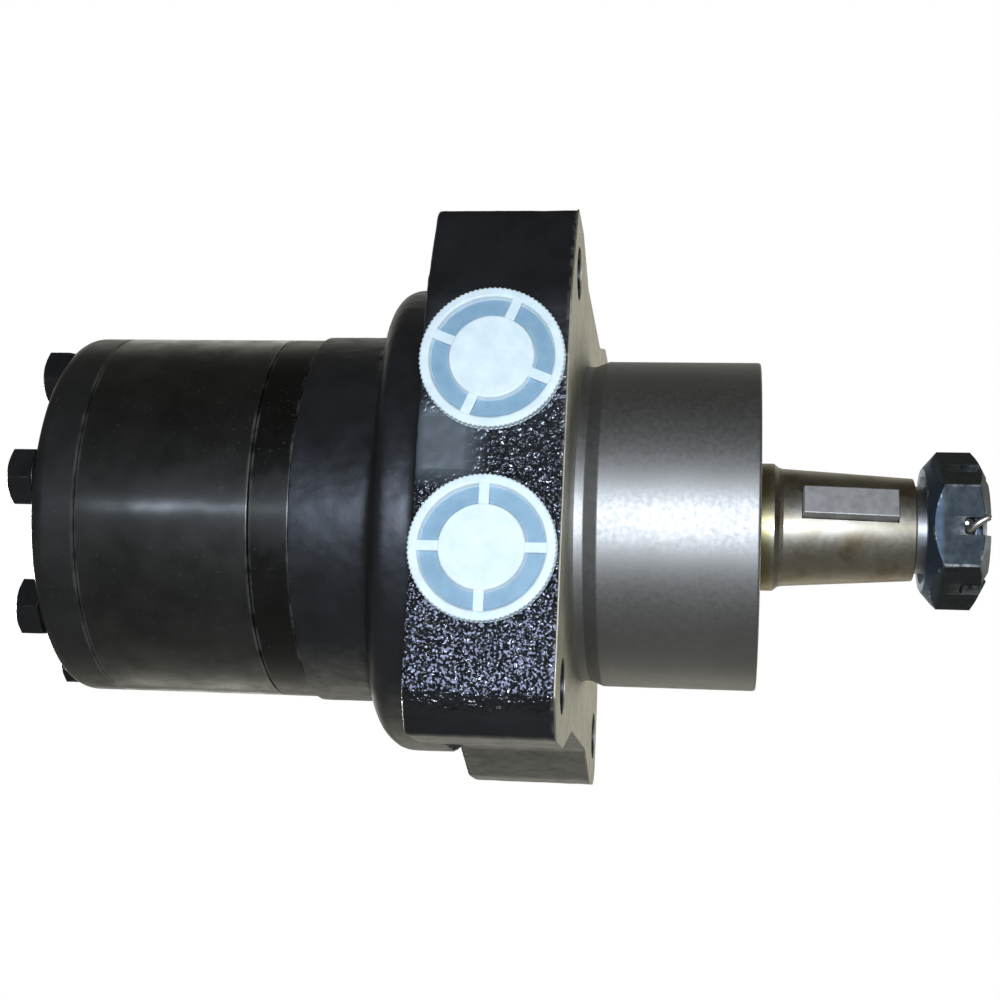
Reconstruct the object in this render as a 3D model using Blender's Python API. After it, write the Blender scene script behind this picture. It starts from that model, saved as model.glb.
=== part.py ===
"""Wheel-mount orbital hydraulic motor with a tapered output shaft.

Frame: +X along the shaft towards the nut, +Z up, the two ports face -Y. The origin is on the shaft's axis, in
the plane of the machined mounting face. Sizes below are in millimetres; the helpers turn them into metres.
"""

import math

import bmesh
import bpy
from mathutils import Matrix, Vector

MM = 0.001
GAP = 0.3  # clearance between pieces that touch or run in each other

# Looks: colour, roughness, metallic
PAINT = ((0.012, 0.013, 0.015), 0.35, 0.0)
GROUND_STEEL = ((0.4, 0.4, 0.42), 0.2, 0.95)
GEAR_STEEL = ((0.32, 0.32, 0.33), 0.35, 0.9)
SHAFT_STEEL = ((0.32, 0.27, 0.22), 0.3, 0.95)
KEY_STEEL = ((0.45, 0.43, 0.47), 0.35, 0.9)
BLACK_OXIDE = ((0.03, 0.035, 0.05), 0.35, 0.7)
BRIGHT_WIRE = ((0.6, 0.6, 0.62), 0.25, 0.95)
BRONZE = ((0.35, 0.33, 0.25), 0.4, 0.9)
RUBBER = ((0.02, 0.02, 0.022), 0.6, 0.0)
PLASTIC = ((0.25, 0.5, 0.75), 0.3, 0.0)
CUTTER = ((0.8, 0.3, 0.1), 0.5, 0.0)

# Shaft and nose
NOSE_R = 44.2
NOSE_END = 46.3
NOSE_EDGE = 0.8
NOSE_RELIEF_R = 42.8  # straight for longer than a thin mounting plate, then it slopes up to the nose
NOSE_RELIEF = (2.3, 5.8)
TAPER_START = 51.7
TAPER_END = 87.0
TAPER_BIG_R = 15.9
TAPER = 1 / 16  # change of radius per length, a 1:8 taper on diameter
THREAD_R = 12.7
THREAD_NECK_R = 11.7
THREAD_SPAN = (89.0, 90.0)  # the neck's end and the first full thread
COLLAR_R = 17.2
COLLAR_END = 51.2
SHAFT_END = 105.0
SHAFT_EDGE = 1.2
JOURNAL_R = 19.0
JOURNAL_END = 30.0
SPOOL_R = 21.5
SPOOL_START = -68.6
SPOOL_END = -7.6
SPOOL_BORE_R = SPOOL_R + GAP
SPOOL_GROOVE_R = 19.4
SPOOL_GROOVE_HALF = 2.5
SPOOL_GROOVE_OFFSET = 5.5  # each oil groove's distance from the ports, along the shaft
SOCKET_R = 11.0
SOCKET_END = -32.0
SHAFT_SPLINE = (-34.0, -12.0)
KEY_ANGLE = math.radians(11.7)  # above the port side
KEY_SIZE = 7.94
KEY_LENGTH = 24.6
KEY_RISE = 2.5  # how far it stands above the taper
KEY_START = 57.6
NUT_ANGLE = math.radians(-9.0)
NUT_FLATS = 36.5
NUT_START = 89.4
NUT_END = 105.5
NUT_CHAMFER = (  # distance from the rear face, and the cone's radius there
    (0.0, 16.6),
    (1.4, 18.25),
    (2.6, 19.6),
    (3.9, 21.1),
    (12.7, 21.1),
    (13.8, 19.0),
    (14.6, 17.5),
    (16.1, 14.7),
)
SLOT_DEPTH = 7.2
SLOT_WIDTH = 4.6
COTTER_X = 99.5
COTTER_WIRE_R = 0.9
COTTER_HOLE_R = 2.6
COTTER_EYE_R = 2.6

# Flange and ports
FLANGE_T = 36.0
BOLT_CIRCLE_R = 73.8
MOUNT_HOLE_R = 6.75
EAR_HALF = 66.3
EAR_START = 45.0
EAR_CORNER_R = 12.0
NOTCH_HALF = 59.2
NOTCH_END = 24.0
LOW_NOTCH_END = -22.0  # the lower notch ends sooner on the port side
BACK_HALF = 63.5
BACK_EAR_START = 42.0
BACK_NOTCH_END = 22.0
PORT_FACE = 69.5
PORT_FACE_TOP = 40.0
PORT_FACE_LOW = -57.3
PORT_EAR_TOP = -60.5
PORT_EAR_LOW = -62.0
DISC_R = 63.3
DISC_FRONT = -34.0
DISC_EDGE = -44.8
PORT_X = -18.4
PORT_Z = 23.2
PORT_R = 10.3
PORT_DEPTH = 25.0
PORT_CHAMFER = (3.2, 12.2)  # depth and widest radius of the sealing chamfer
SPOTFACE_R = 17.2
SPOTFACE_DEPTH = 0.6
PLUG_R = 17.85
PLUG_HEIGHT = 2.5
PLUG_WEB = 1.1
PLUG_RIM_R = 15.4
PLUG_HUB_R = 10.3
PLUG_BARREL_R = 9.7
PLUG_BARREL_BORE_R = 7.6
PLUG_REACH = 14.0
PLUG_RIB_HALF = 1.25

# Rear stack
BODY_R = 50.4
STACK_R = 49.5
HOUSING_REAR = -70.85
CYLINDER_FRONT = -54.0
PLATE = (-81.55, -71.15)
PLATE_BORE_R = 13.0
RING = (-127.25, -81.85)
COVER = (-139.5, -127.55)
COVER_ROUND = (3.8, 2.6)  # length and height of the cover's rounded rim
STACK_BOLTS = 7
STACK_BOLT_CIRCLE = 40.5
STACK_BOLT_R = 4.76
STACK_BOLT_TIP = -51.0
BOLT_HEAD_END = -147.0
BOLT_HEAD_FLATS = 14.3
BOLT_WASHER_FACE = 0.7
STACK_HOLE_R = STACK_BOLT_R + GAP + 0.14
ORING_R = 34.0
ORING_WIRE_R = 0.75

# Gerotor set
ROLLERS = 7
ROLLER_CIRCLE = 27.5
ROLLER_R = 5.2
ECCENTRICITY = 2.6
ROTOR = (-127.0, -82.1)
GEROTOR_BORE_R = ROLLER_CIRCLE + 0.6
SPLINE_TEETH = 12
INNER_SPLINE = (8.8, 10.2, 0.56)  # root and tip radius, and the tooth tip's share of the pitch
LINK_SPLINE = (8.2, 9.6, 0.4)
LINK_WAIST_R = 7.0
LINK_SPACER_R = 8.3
LINK_REAR = (-120.5, -104.5)
LINK_FRONT = (-30.0, -14.0)

# Bearings and seals
RACE_INNER = (JOURNAL_R + GAP, 22.5)
RACE_OUTER = (27.5, 31.0)
REAR_BEARING = (-6.8, 8.2)
FRONT_BEARING = (14.4, 29.4)
CAVITY_R = RACE_OUTER[1] + GAP
CAVITY_REAR = -7.1
BEARING_ROLLERS = 12
BEARING_PITCH = 25.0
BEARING_ROLLER_R = 2.2
CAGE_R = (24.3, 25.7)
CAGE_INSET = 1.0
BEARING_SPACER_R = 28.4
SNAP_GROOVE = (37.9, 40.1)
SNAP_GROOVE_R = 33.0
SNAP_RING = (38.2, 39.8)
SNAP_RING_R = (29.0, 32.6)
SNAP_RING_LUG_R = 27.2
SNAP_RING_HALF_GAP = math.radians(13)
SEAL = (30.8, 37.4)
SEAL_WAIST_R = 20.2
DUST_SEAL = (41.0, 45.9)
DUST_LIP_END = 46.9
DUST_WAIST_R = (22.0, 22.5)
SEAL_R = 31.0
WASHER = (-70.6, SPOOL_START - GAP)
WASHER_R = (13.4, 21.2)


# ---------------------------------------------------------------- helpers


def clear_scene():
    for thing in list(bpy.data.objects):
        bpy.data.objects.remove(thing)


def material(name, look):
    color, roughness, metallic = look
    made = bpy.data.materials.new(name)
    made.use_nodes = True
    shader = made.node_tree.nodes["Principled BSDF"]
    shader.inputs["Base Color"].default_value = (*color, 1)
    shader.inputs["Roughness"].default_value = roughness
    shader.inputs["Metallic"].default_value = metallic
    return made


def finish(name, mesh_tool, look, origin=(0, 0, 0)):
    """An object from a bmesh whose points are millimetres in the world, with its origin moved to `origin`."""
    start = Vector(origin)
    for vert in mesh_tool.verts:
        vert.co = (vert.co - start) * MM
    bmesh.ops.recalc_face_normals(mesh_tool, faces=mesh_tool.faces)
    mesh = bpy.data.meshes.new(name)
    mesh_tool.to_mesh(mesh)
    mesh_tool.free()
    mesh.shade_smooth()
    mesh.set_sharp_from_angle(angle=math.radians(30))
    made = bpy.data.objects.new(name, mesh)
    made.location = start * MM
    bpy.context.scene.collection.objects.link(made)
    mesh.materials.append(material(name, look))
    return made


def loft(rings, hollow=False):
    """A skin over equal rings of points, with flat ends, or with the last ring joined to the first."""
    tool = bmesh.new()
    made = [[tool.verts.new(p) for p in ring] for ring in rings]
    pairs = list(zip(made, made[1:]))
    if hollow:
        pairs.append((made[-1], made[0]))
    else:
        tool.faces.new(made[0])
        tool.faces.new(made[-1])
    for a, b in pairs:
        count = len(a)
        for i in range(count):
            j = (i + 1) % count
            tool.faces.new((a[i], a[j], b[j], b[i]))
    return tool


def circle(x, radius, count):
    steps = [2 * math.pi * i / count for i in range(count)]
    return [(x, -radius * math.cos(a), radius * math.sin(a)) for a in steps]


def turned(profile, count=48, hollow=False):
    """A solid of revolution about X over a profile of (x, radius), with flat ends; a hollow one is a ring."""
    return loft([circle(x, r, count) for x, r in profile], hollow)


def bar(x0, x1, radius, count=24, centre=(0.0, 0.0)):
    tool = turned([(x0, radius), (x1, radius)], count)
    bmesh.ops.translate(tool, vec=(0, *centre), verts=tool.verts)
    return tool


def ring(x0, x1, inner, outer, count=40):
    return turned([(x0, inner), (x0, outer), (x1, outer), (x1, inner)], count, True)


def prism(outline, x0, x1):
    """A straight solid along X over an outline of (y, z) points."""
    tool = bmesh.new()
    near = [tool.verts.new((x0, y, z)) for y, z in outline]
    far = [tool.verts.new((x1, y, z)) for y, z in outline]
    count = len(outline)
    for i in range(count):
        j = (i + 1) % count
        tool.faces.new((near[i], near[j], far[j], far[i]))
    tool.faces.new(near)
    tool.faces.new(far)
    return tool


def joined(tools):
    """One bmesh from several that don't touch each other."""
    base = tools[0]
    for extra in tools[1:]:
        mesh = bpy.data.meshes.new("joining")
        extra.to_mesh(mesh)
        extra.free()
        base.from_mesh(mesh)
        bpy.data.meshes.remove(mesh)
    return base


def boolean(target, tool, label, operation="DIFFERENCE"):
    """Cuts or adds a helper shape, which stays in the scene as a hidden wire object."""
    helper = finish(target.name + "_" + label, tool, CUTTER)
    helper.hide_render = True
    helper.display_type = "WIRE"
    step = target.modifiers.new(label, "BOOLEAN")
    step.operation = operation
    step.object = helper
    step.solver = "EXACT"


def around(angle, radius):
    """(y, z) at an angle above the port side."""
    return (-radius * math.cos(angle), radius * math.sin(angle))


def spun(tool, angle):
    """Turns a shape made facing -Y so that it faces `angle` above -Y, about the X axis."""
    bmesh.ops.rotate(tool, cent=(0, 0, 0), matrix=Matrix.Rotation(-angle, 3, "X"), verts=tool.verts)
    return tool


def block(x0, x1, y0, y1, z0, z1):
    return prism([(y0, z0), (y1, z0), (y1, z1), (y0, z1)], x0, x1)


def along_y(profile, x, z, count=24):
    """A solid of revolution about a line along -Y through (x, z), over (distance along -Y, radius)."""
    tool = turned(profile, count)
    bmesh.ops.rotate(tool, cent=(0, 0, 0), matrix=Matrix.Rotation(-math.pi / 2, 3, "Z"), verts=tool.verts)
    bmesh.ops.translate(tool, vec=(x, 0, z), verts=tool.verts)
    return tool


def arc(centre, radius, start, end, steps):
    """Outline points on an arc, angles in degrees."""
    turns = [math.radians(start + (end - start) * i / steps) for i in range(steps + 1)]
    return [(centre[0] + radius * math.cos(t), centre[1] + radius * math.sin(t)) for t in turns]


# ---------------------------------------------------------------- castings and rear stack


def stack_bolt_angles():
    return [2 * math.pi * i / STACK_BOLTS for i in range(STACK_BOLTS)]


def stack_holes(x0, x1):
    return joined(
        [bar(x0, x1, STACK_HOLE_R, 12, around(a, STACK_BOLT_CIRCLE)) for a in stack_bolt_angles()]
    )


def oring_groove(face, inwards):
    """The groove for a seal in a flat face at x = `face`; `inwards` is +1 or -1 into the metal."""
    deep = face + inwards * (2 * ORING_WIRE_R + GAP)
    out = face - inwards * 1.0
    x0, x1 = min(deep, out), max(deep, out)
    half = ORING_WIRE_R + GAP
    return ring(x0, x1, ORING_R - half, ORING_R + half, 28)


def flange_outline():
    """Four ears with shallow notches between them; the port side reaches further out, to the port face."""
    ear, notch, start = EAR_HALF, NOTCH_HALF, EAR_START
    top = [(-PORT_FACE, PORT_FACE_TOP), (PORT_EAR_TOP, ear), (-start, ear), (-NOTCH_END, notch)]
    top += [(NOTCH_END, notch), (start, ear)]
    corner = arc((BACK_HALF - EAR_CORNER_R, ear - EAR_CORNER_R), EAR_CORNER_R, 90, 0, 4)
    back = [(BACK_HALF, BACK_EAR_START), (notch, BACK_NOTCH_END)]
    back += [(y, -z) for y, z in reversed(back)]
    low_corner = [(y, -z) for y, z in reversed(corner)]
    low = [(start, -ear), (NOTCH_END, -notch), (LOW_NOTCH_END, -notch), (-start, -ear)]
    low += [(PORT_EAR_LOW, -ear), (-PORT_FACE, PORT_FACE_LOW)]
    return top + corner + back + low_corner + low


def disc_ring(step, steps, count=64):
    """One ring of the disc's cast shoulder, a quarter ellipse that is shorter towards the port side."""
    rise = math.pi / 2 * step / steps
    points = []
    for i in range(count):
        angle = 2 * math.pi * i / count
        short = max(0.0, math.cos(angle)) ** 2
        length = (DISC_EDGE - CYLINDER_FRONT) * (1 - 0.5 * short)
        x = DISC_EDGE - length * math.cos(rise)
        radius = BODY_R + (DISC_R - BODY_R) * math.sin(rise)
        points.append((x, *around(angle, radius)))
    return points


def housing_body():
    steps = 4
    count = 48
    rings = [circle(HOUSING_REAR, BODY_R - 0.6, count), circle(HOUSING_REAR + 0.6, BODY_R, count)]
    rings += [disc_ring(i, steps, count) for i in range(steps + 1)]
    rings.append(circle(DISC_FRONT, DISC_R, count))
    return loft(rings)


def nose_body():
    straight, full = NOSE_RELIEF
    profile = [(-8, NOSE_RELIEF_R), (straight, NOSE_RELIEF_R), (full, NOSE_R)]
    profile += [(NOSE_END - NOSE_EDGE, NOSE_R), (NOSE_END, NOSE_R - NOSE_EDGE)]
    return turned(profile)


def shaft_bore():
    """Spool bore, bearing cavity, snap-ring groove and seal bore, as one cutter."""
    rear, front = SNAP_GROOVE
    profile = [(HOUSING_REAR - 2, SPOOL_BORE_R), (CAVITY_REAR, SPOOL_BORE_R), (CAVITY_REAR, CAVITY_R)]
    profile += [(rear, CAVITY_R), (rear, SNAP_GROOVE_R), (front, SNAP_GROOVE_R), (front, CAVITY_R)]
    profile.append((NOSE_END + 2, CAVITY_R))
    return turned(profile, 32)


def port_bore(side):
    """Threaded port with a spotface and a sealing chamfer; `side` is +1 for the upper port."""
    depth, widest = PORT_CHAMFER
    floor = PORT_FACE - SPOTFACE_DEPTH
    profile = [(PORT_FACE - PORT_DEPTH, PORT_R), (PORT_FACE - depth, PORT_R), (floor, widest)]
    profile += [(floor, SPOTFACE_R), (PORT_FACE + 2, SPOTFACE_R)]
    return along_y(profile, PORT_X, side * PORT_Z)


def mounting_holes():
    half = BOLT_CIRCLE_R / math.sqrt(2)
    places = [(y, z) for y in (-half, half) for z in (-half, half)]
    return joined([bar(-FLANGE_T - 12, 2, MOUNT_HOLE_R, 18, place) for place in places])


def housing():
    body = finish("housing", housing_body(), PAINT)
    boolean(body, prism(flange_outline(), -FLANGE_T, 0), "flange", "UNION")
    boolean(body, nose_body(), "nose", "UNION")
    boolean(body, shaft_bore(), "bore")
    boolean(body, joined([port_bore(1), port_bore(-1)]), "ports")
    boolean(body, mounting_holes(), "mounting_holes")
    boolean(body, stack_holes(HOUSING_REAR - 2, STACK_BOLT_TIP + 1.5), "bolt_holes")


def spacer_plate():
    rear, front = PLATE
    body = finish("spacer_plate", ring(rear, front, PLATE_BORE_R, STACK_R, 48), PAINT)
    boolean(body, oring_groove(rear, 1), "rear_groove")
    boolean(body, oring_groove(front, -1), "front_groove")
    boolean(body, stack_holes(rear - 2, front + 2), "bolt_holes")


def gerotor_bore_outline():
    """The ring's bore with a round pocket for each roller."""
    bore = GEROTOR_BORE_R
    pocket = ROLLER_R + GAP
    outline = []
    pitch = 2 * math.pi / ROLLERS
    meet = math.acos((ROLLER_CIRCLE**2 + bore**2 - pocket**2) / (2 * ROLLER_CIRCLE * bore))
    for i in range(ROLLERS):
        centre_angle = pitch * (i + 0.5)
        cy, cz = around(centre_angle, ROLLER_CIRCLE)
        for k in range(4):
            side = centre_angle - pitch / 2 + (pitch / 2 - meet) * k / 4
            outline.append(around(side, bore))
        entry = around(centre_angle - meet, bore)
        start = math.atan2(entry[1] - cz, -(entry[0] - cy))
        span = 2 * (centre_angle - start) % (2 * math.pi)
        for k in range(11):
            turn = start + span * k / 10
            outline.append((cy - pocket * math.cos(turn), cz + pocket * math.sin(turn)))
        for k in range(1, 4):
            side = centre_angle + meet + (pitch / 2 - meet) * k / 4
            outline.append(around(side, bore))
    return outline


def stator_ring():
    rear, front = RING
    body = finish("stator_ring", bar(rear, front, STACK_R, 48), PAINT)
    boolean(body, prism(gerotor_bore_outline(), rear - 2, front + 2), "gerotor_bore")
    boolean(body, stack_holes(rear - 2, front + 2), "bolt_holes")


def end_cover():
    rear, front = COVER
    length, height = COVER_ROUND
    rim = []
    for i in range(4):
        turn = math.pi / 2 * i / 3
        rim.append((rear + length * (1 - math.sin(turn)), STACK_R - height * (1 - math.cos(turn))))
    rim.reverse()
    body = finish("end_cover", turned(rim + [(front, STACK_R)], 48), PAINT)
    boolean(body, stack_holes(rear - 2, front + 2), "bolt_holes")
    boolean(body, oring_groove(front, -1), "oring_groove")


def cover_bolt(index, angle):
    """A hexagon-head screw: a chamfered head on a washer face, and its shank."""
    seat = COVER[0] - GAP
    face = seat - BOLT_WASHER_FACE
    corner = BOLT_HEAD_FLATS / math.sqrt(3)
    tool = turned([(BOLT_HEAD_END, corner - 1.3), (BOLT_HEAD_END + 0.9, corner), (face, corner)], 6)
    place = around(angle, STACK_BOLT_CIRCLE)
    bmesh.ops.translate(tool, vec=(0, *place), verts=tool.verts)
    body = finish(f"cover_bolt_{index}", tool, PAINT, (seat, *place))
    flats = BOLT_HEAD_FLATS / 2
    stem = [(face - 1, flats - 0.4), (seat, flats - 0.4), (seat, STACK_BOLT_R)]
    stem += [(STACK_BOLT_TIP - 1, STACK_BOLT_R), (STACK_BOLT_TIP, STACK_BOLT_R - 1)]
    tool = turned(stem, 14)
    bmesh.ops.translate(tool, vec=(0, *place), verts=tool.verts)
    boolean(body, tool, "stem", "UNION")


def orings():
    seams = {"front": PLATE[1] - ORING_WIRE_R, "middle": PLATE[0] + ORING_WIRE_R}
    seams["rear"] = COVER[1] - ORING_WIRE_R
    for name, x in seams.items():
        section = [
            (x + ORING_WIRE_R * math.cos(math.radians(a)), ORING_R + ORING_WIRE_R * math.sin(math.radians(a)))
            for a in range(45, 360, 90)
        ]
        finish(f"oring_{name}", turned(section, 28, True), RUBBER)


# ---------------------------------------------------------------- gerotor set and drive link


def rotor_outline():
    """The six-lobed curve that stays in touch with seven rollers while its centre orbits."""
    steps = 84
    turn = math.pi / (ROLLERS - 1)
    outline = []
    for i in range(steps):
        t = 2 * math.pi * i / steps
        lean = math.atan2(
            math.sin((1 - ROLLERS) * t),
            ROLLER_CIRCLE / (ECCENTRICITY * ROLLERS) - math.cos((1 - ROLLERS) * t),
        )
        reach = ROLLER_R + GAP
        u = ROLLER_CIRCLE * math.cos(t) - ECCENTRICITY * math.cos(ROLLERS * t) - reach * math.cos(t + lean)
        v = ECCENTRICITY * math.sin(ROLLERS * t) - ROLLER_CIRCLE * math.sin(t) + reach * math.sin(t + lean)
        outline.append((u * math.cos(turn) - v * math.sin(turn), u * math.sin(turn) + v * math.cos(turn)))
    return outline


def spline_outline(root, tip, share):
    """A toothed outline about the origin; `share` is the tooth tip's part of the pitch."""
    outline = []
    pitch = 2 * math.pi / SPLINE_TEETH
    for i in range(SPLINE_TEETH):
        for offset, radius in ((-0.5, root), (-0.5 + (1 - share) / 2 - 0.06, root)):
            outline.append(around(pitch * (i + offset), radius))
        for offset in (-share / 2 + 0.03, share / 2 - 0.03):
            outline.append(around(pitch * (i + offset), tip))
        outline.append(around(pitch * (i + 0.5 - (1 - share) / 2 + 0.06), root))
    return outline


def rotor():
    """Rest pose: the rotor's centre stands straight out towards the port side."""
    rear, front = ROTOR
    offset = -ECCENTRICITY
    placed = [(y + offset, z) for y, z in rotor_outline()]
    body = finish("rotor", prism(placed, rear, front), GEAR_STEEL, (0, offset, 0))
    hole = [(y + offset, z) for y, z in spline_outline(*INNER_SPLINE)]
    boolean(body, prism(hole, rear - 2, front + 2), "spline")


def rollers():
    for i in range(ROLLERS):
        place = around(2 * math.pi * (i + 0.5) / ROLLERS, ROLLER_CIRCLE)
        tool = bar(ROTOR[0], ROTOR[1], ROLLER_R, 24, place)
        finish(f"roller_{i + 1}", tool, GROUND_STEEL, (0, *place))


def drive_link():
    """Two crowned splined heads on a slim shaft, tilted from the shaft's axis to the rotor's centre."""
    rear, front = LINK_REAR, LINK_FRONT
    back_x, front_x = sum(rear) / 2, sum(front) / 2
    heads = [prism(spline_outline(*LINK_SPLINE), *span) for span in (rear, front)]
    waist = bar(rear[0] + 3, front[1] - 3, LINK_WAIST_R)
    tilt = math.asin(ECCENTRICITY / (front_x - back_x))
    for tool in heads + [waist]:
        bmesh.ops.rotate(
            tool, cent=(front_x, 0, 0), matrix=Matrix.Rotation(tilt, 3, "Z"), verts=tool.verts
        )
    body = finish("drive_link", heads[0], GEAR_STEEL)
    boolean(body, waist, "waist", "UNION")
    boolean(body, heads[1], "front_head", "UNION")


def drive_link_spacer():
    centre = (-ECCENTRICITY, 0)
    tool = bar(ROTOR[0], LINK_REAR[0] - 0.8, LINK_SPACER_R, 24, centre)
    finish("drive_link_spacer", tool, GEAR_STEEL, (0, *centre))


# ---------------------------------------------------------------- shaft group


def taper_radius(x):
    return TAPER_BIG_R - (x - TAPER_START) * TAPER


def shaft_profile():
    profile = [(SPOOL_START, SPOOL_R)]
    for centre in (PORT_X - SPOOL_GROOVE_OFFSET, PORT_X + SPOOL_GROOVE_OFFSET):
        near, far = centre - SPOOL_GROOVE_HALF, centre + SPOOL_GROOVE_HALF
        profile += [(near, SPOOL_R), (near, SPOOL_GROOVE_R), (far, SPOOL_GROOVE_R), (far, SPOOL_R)]
    profile += [(SPOOL_END, SPOOL_R), (SPOOL_END, JOURNAL_R), (JOURNAL_END, JOURNAL_R)]
    profile += [(JOURNAL_END, COLLAR_R), (COLLAR_END, COLLAR_R), (COLLAR_END, taper_radius(COLLAR_END))]
    profile += [(TAPER_END, taper_radius(TAPER_END)), (TAPER_END, THREAD_NECK_R)]
    profile += [(THREAD_SPAN[0], THREAD_NECK_R), (THREAD_SPAN[1], THREAD_R)]
    profile += [(SHAFT_END - SHAFT_EDGE, THREAD_R), (SHAFT_END, THREAD_R - SHAFT_EDGE)]
    return profile


def key_shape(clearance, length_extra):
    """The parallel key, its floor parallel to the taper; also the cutter for its seat."""
    half = KEY_SIZE / 2 + clearance
    middle = KEY_START + KEY_LENGTH / 2
    surface = taper_radius(middle)
    floor = surface + KEY_RISE - KEY_SIZE - clearance
    top = surface + KEY_RISE + (4 if clearance else 0)
    reach = KEY_LENGTH / 2 + length_extra
    tool = block(-reach, reach, -top, -floor, -half, half)
    slope = math.atan(TAPER)
    shift = Vector((middle, 0, 0))
    tilt = Matrix.Rotation(slope, 3, "Z")
    bmesh.ops.translate(tool, vec=(0, surface, 0), verts=tool.verts)
    bmesh.ops.rotate(tool, cent=(0, 0, 0), matrix=tilt, verts=tool.verts)
    bmesh.ops.translate(tool, vec=shift + Vector((0, -surface, 0)), verts=tool.verts)
    return spun(tool, KEY_ANGLE)


def output_shaft():
    body = finish("output_shaft", turned(shaft_profile(), 36), SHAFT_STEEL)
    boolean(body, bar(SPOOL_START - 2, SOCKET_END, SOCKET_R, 24), "socket")
    boolean(body, prism(spline_outline(*INNER_SPLINE), *SHAFT_SPLINE), "spline")
    boolean(body, key_shape(GAP, GAP), "keyseat")
    hole = along_y([(-20, COTTER_HOLE_R), (20, COTTER_HOLE_R)], COTTER_X, 0, 16)
    boolean(body, spun(hole, NUT_ANGLE), "cotter_hole")


def shaft_key():
    finish("shaft_key", key_shape(0, 0), KEY_STEEL)


def hexagon_rings():
    """The nut's rings of points: a hexagon cut down by a coned chamfer towards each face."""
    fine = 36
    rings = []
    for along, limit in NUT_CHAMFER:
        points = []
        for i in range(fine):
            angle = 2 * math.pi * i / fine
            sector = (angle + math.pi / 6) % (math.pi / 3) - math.pi / 6
            reach = min(limit, NUT_FLATS / 2 / math.cos(sector))
            points.append((NUT_START + along, *around(angle, reach)))
        rings.append(points)
    return rings


def slotted_nut():
    body = finish("slotted_nut", spun(loft(hexagon_rings()), NUT_ANGLE), BLACK_OXIDE)
    boolean(body, bar(NUT_START - 2, NUT_END + 2, THREAD_R + GAP, 28), "thread_bore")
    half = SLOT_WIDTH / 2
    for i in range(3):
        slot = block(NUT_END - SLOT_DEPTH, NUT_END + 2, -30, 30, -half, half)
        boolean(body, spun(slot, NUT_ANGLE + i * math.pi / 3), f"slot_{i + 1}")


def cotter_pin():
    """One wire: a long leg bent along the shaft, two legs through the hole, and the eye between them."""
    half = COTTER_WIRE_R + GAP / 2
    reach = NUT_FLATS / 2
    points = [(5.2, -reach - 2.1, 2.3), (3.4, -reach - 2.2, 1.5), (1.7, -reach - 1.9, 0.4)]
    points += [(0.4, -reach - 0.9, 0.2 - half), (0, -reach + 0.6, -half), (0, -5, -half), (0, 8, -half)]
    points.append((0, reach + 0.5, -half))
    points += [(0, y, z) for y, z in arc((reach + 3.6, 0), COTTER_EYE_R, -140, 140, 8)]
    points += [(0, reach + 0.5, half), (0, 8, half), (0, -5, half), (0, -reach + 1.6, half)]
    curve = bpy.data.curves.new("cotter_pin", "CURVE")
    curve.dimensions = "3D"
    curve.bevel_depth = COTTER_WIRE_R * MM
    curve.bevel_resolution = 1
    curve.use_fill_caps = True
    line = curve.splines.new("POLY")
    line.points.add(len(points) - 1)
    turn = Matrix.Rotation(-NUT_ANGLE, 3, "X")
    for point, place in zip(line.points, points):
        point.co = (*((turn @ Vector(place)) * MM), 1)
    made = bpy.data.objects.new("cotter_pin", curve)
    made.location = (COTTER_X * MM, 0, 0)
    bpy.context.scene.collection.objects.link(made)
    curve.materials.append(material("cotter_pin", BRIGHT_WIRE))


# ---------------------------------------------------------------- bearings and seals


def roller_cage_outline(inner):
    """A thin cage ring that swells to each roller, outside or inside."""
    outline = []
    count = BEARING_ROLLERS * 5
    for i in range(count):
        angle = 2 * math.pi * i / count
        pitch = 2 * math.pi / BEARING_ROLLERS
        lean = (angle + pitch / 2) % pitch - pitch / 2
        half = BEARING_ROLLER_R**2 - (BEARING_PITCH * math.sin(lean)) ** 2
        bulge = math.sqrt(half) if half > 0 else 0.0
        along = BEARING_PITCH * math.cos(lean)
        reach = min(CAGE_R[0], along - bulge) if inner else max(CAGE_R[1], along + bulge)
        outline.append(around(angle, reach))
    return outline


def bearing(name, span):
    x0, x1 = span
    finish(f"{name}_inner_race", ring(x0, x1, *RACE_INNER, 32), GROUND_STEEL)
    finish(f"{name}_outer_race", ring(x0, x1, *RACE_OUTER, 32), GROUND_STEEL)
    rings = []
    near, far = x0 + CAGE_INSET, x1 - CAGE_INSET
    for x, inner in ((near, True), (near, False), (far, False), (far, True)):
        rings.append([(x, y, z) for y, z in roller_cage_outline(inner)])
    finish(f"{name}_rollers", loft(rings, True), GROUND_STEEL)


def bearing_spacer():
    tool = ring(REAR_BEARING[1] + GAP, FRONT_BEARING[0] - GAP, BEARING_SPACER_R, RACE_OUTER[1], 32)
    finish("bearing_spacer", tool, GEAR_STEEL)


def thrust_washer():
    finish("thrust_washer", ring(*WASHER, *WASHER_R, 32), BRONZE)


def shaft_seal():
    lip = COLLAR_R + GAP
    rear, front = SEAL
    profile = [(rear, SEAL_WAIST_R), (rear, SEAL_R), (front, SEAL_R), (front, lip), (front - 2.8, lip)]
    finish("shaft_seal", turned(profile, 32, True), RUBBER)


def retaining_ring():
    """An open snap ring that springs into its groove in front of the seal."""
    inner, outer = SNAP_RING_R
    steps = 28
    sweep = 2 * math.pi - 2 * SNAP_RING_HALF_GAP
    angles = [SNAP_RING_HALF_GAP + sweep * i / steps for i in range(steps + 1)]
    outline = [around(a, outer) for a in angles]
    for i in range(steps, -1, -1):
        outline.append(around(angles[i], SNAP_RING_LUG_R if i in (0, steps) else inner))
    finish("retaining_ring", prism(outline, *SNAP_RING), GEAR_STEEL)


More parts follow.
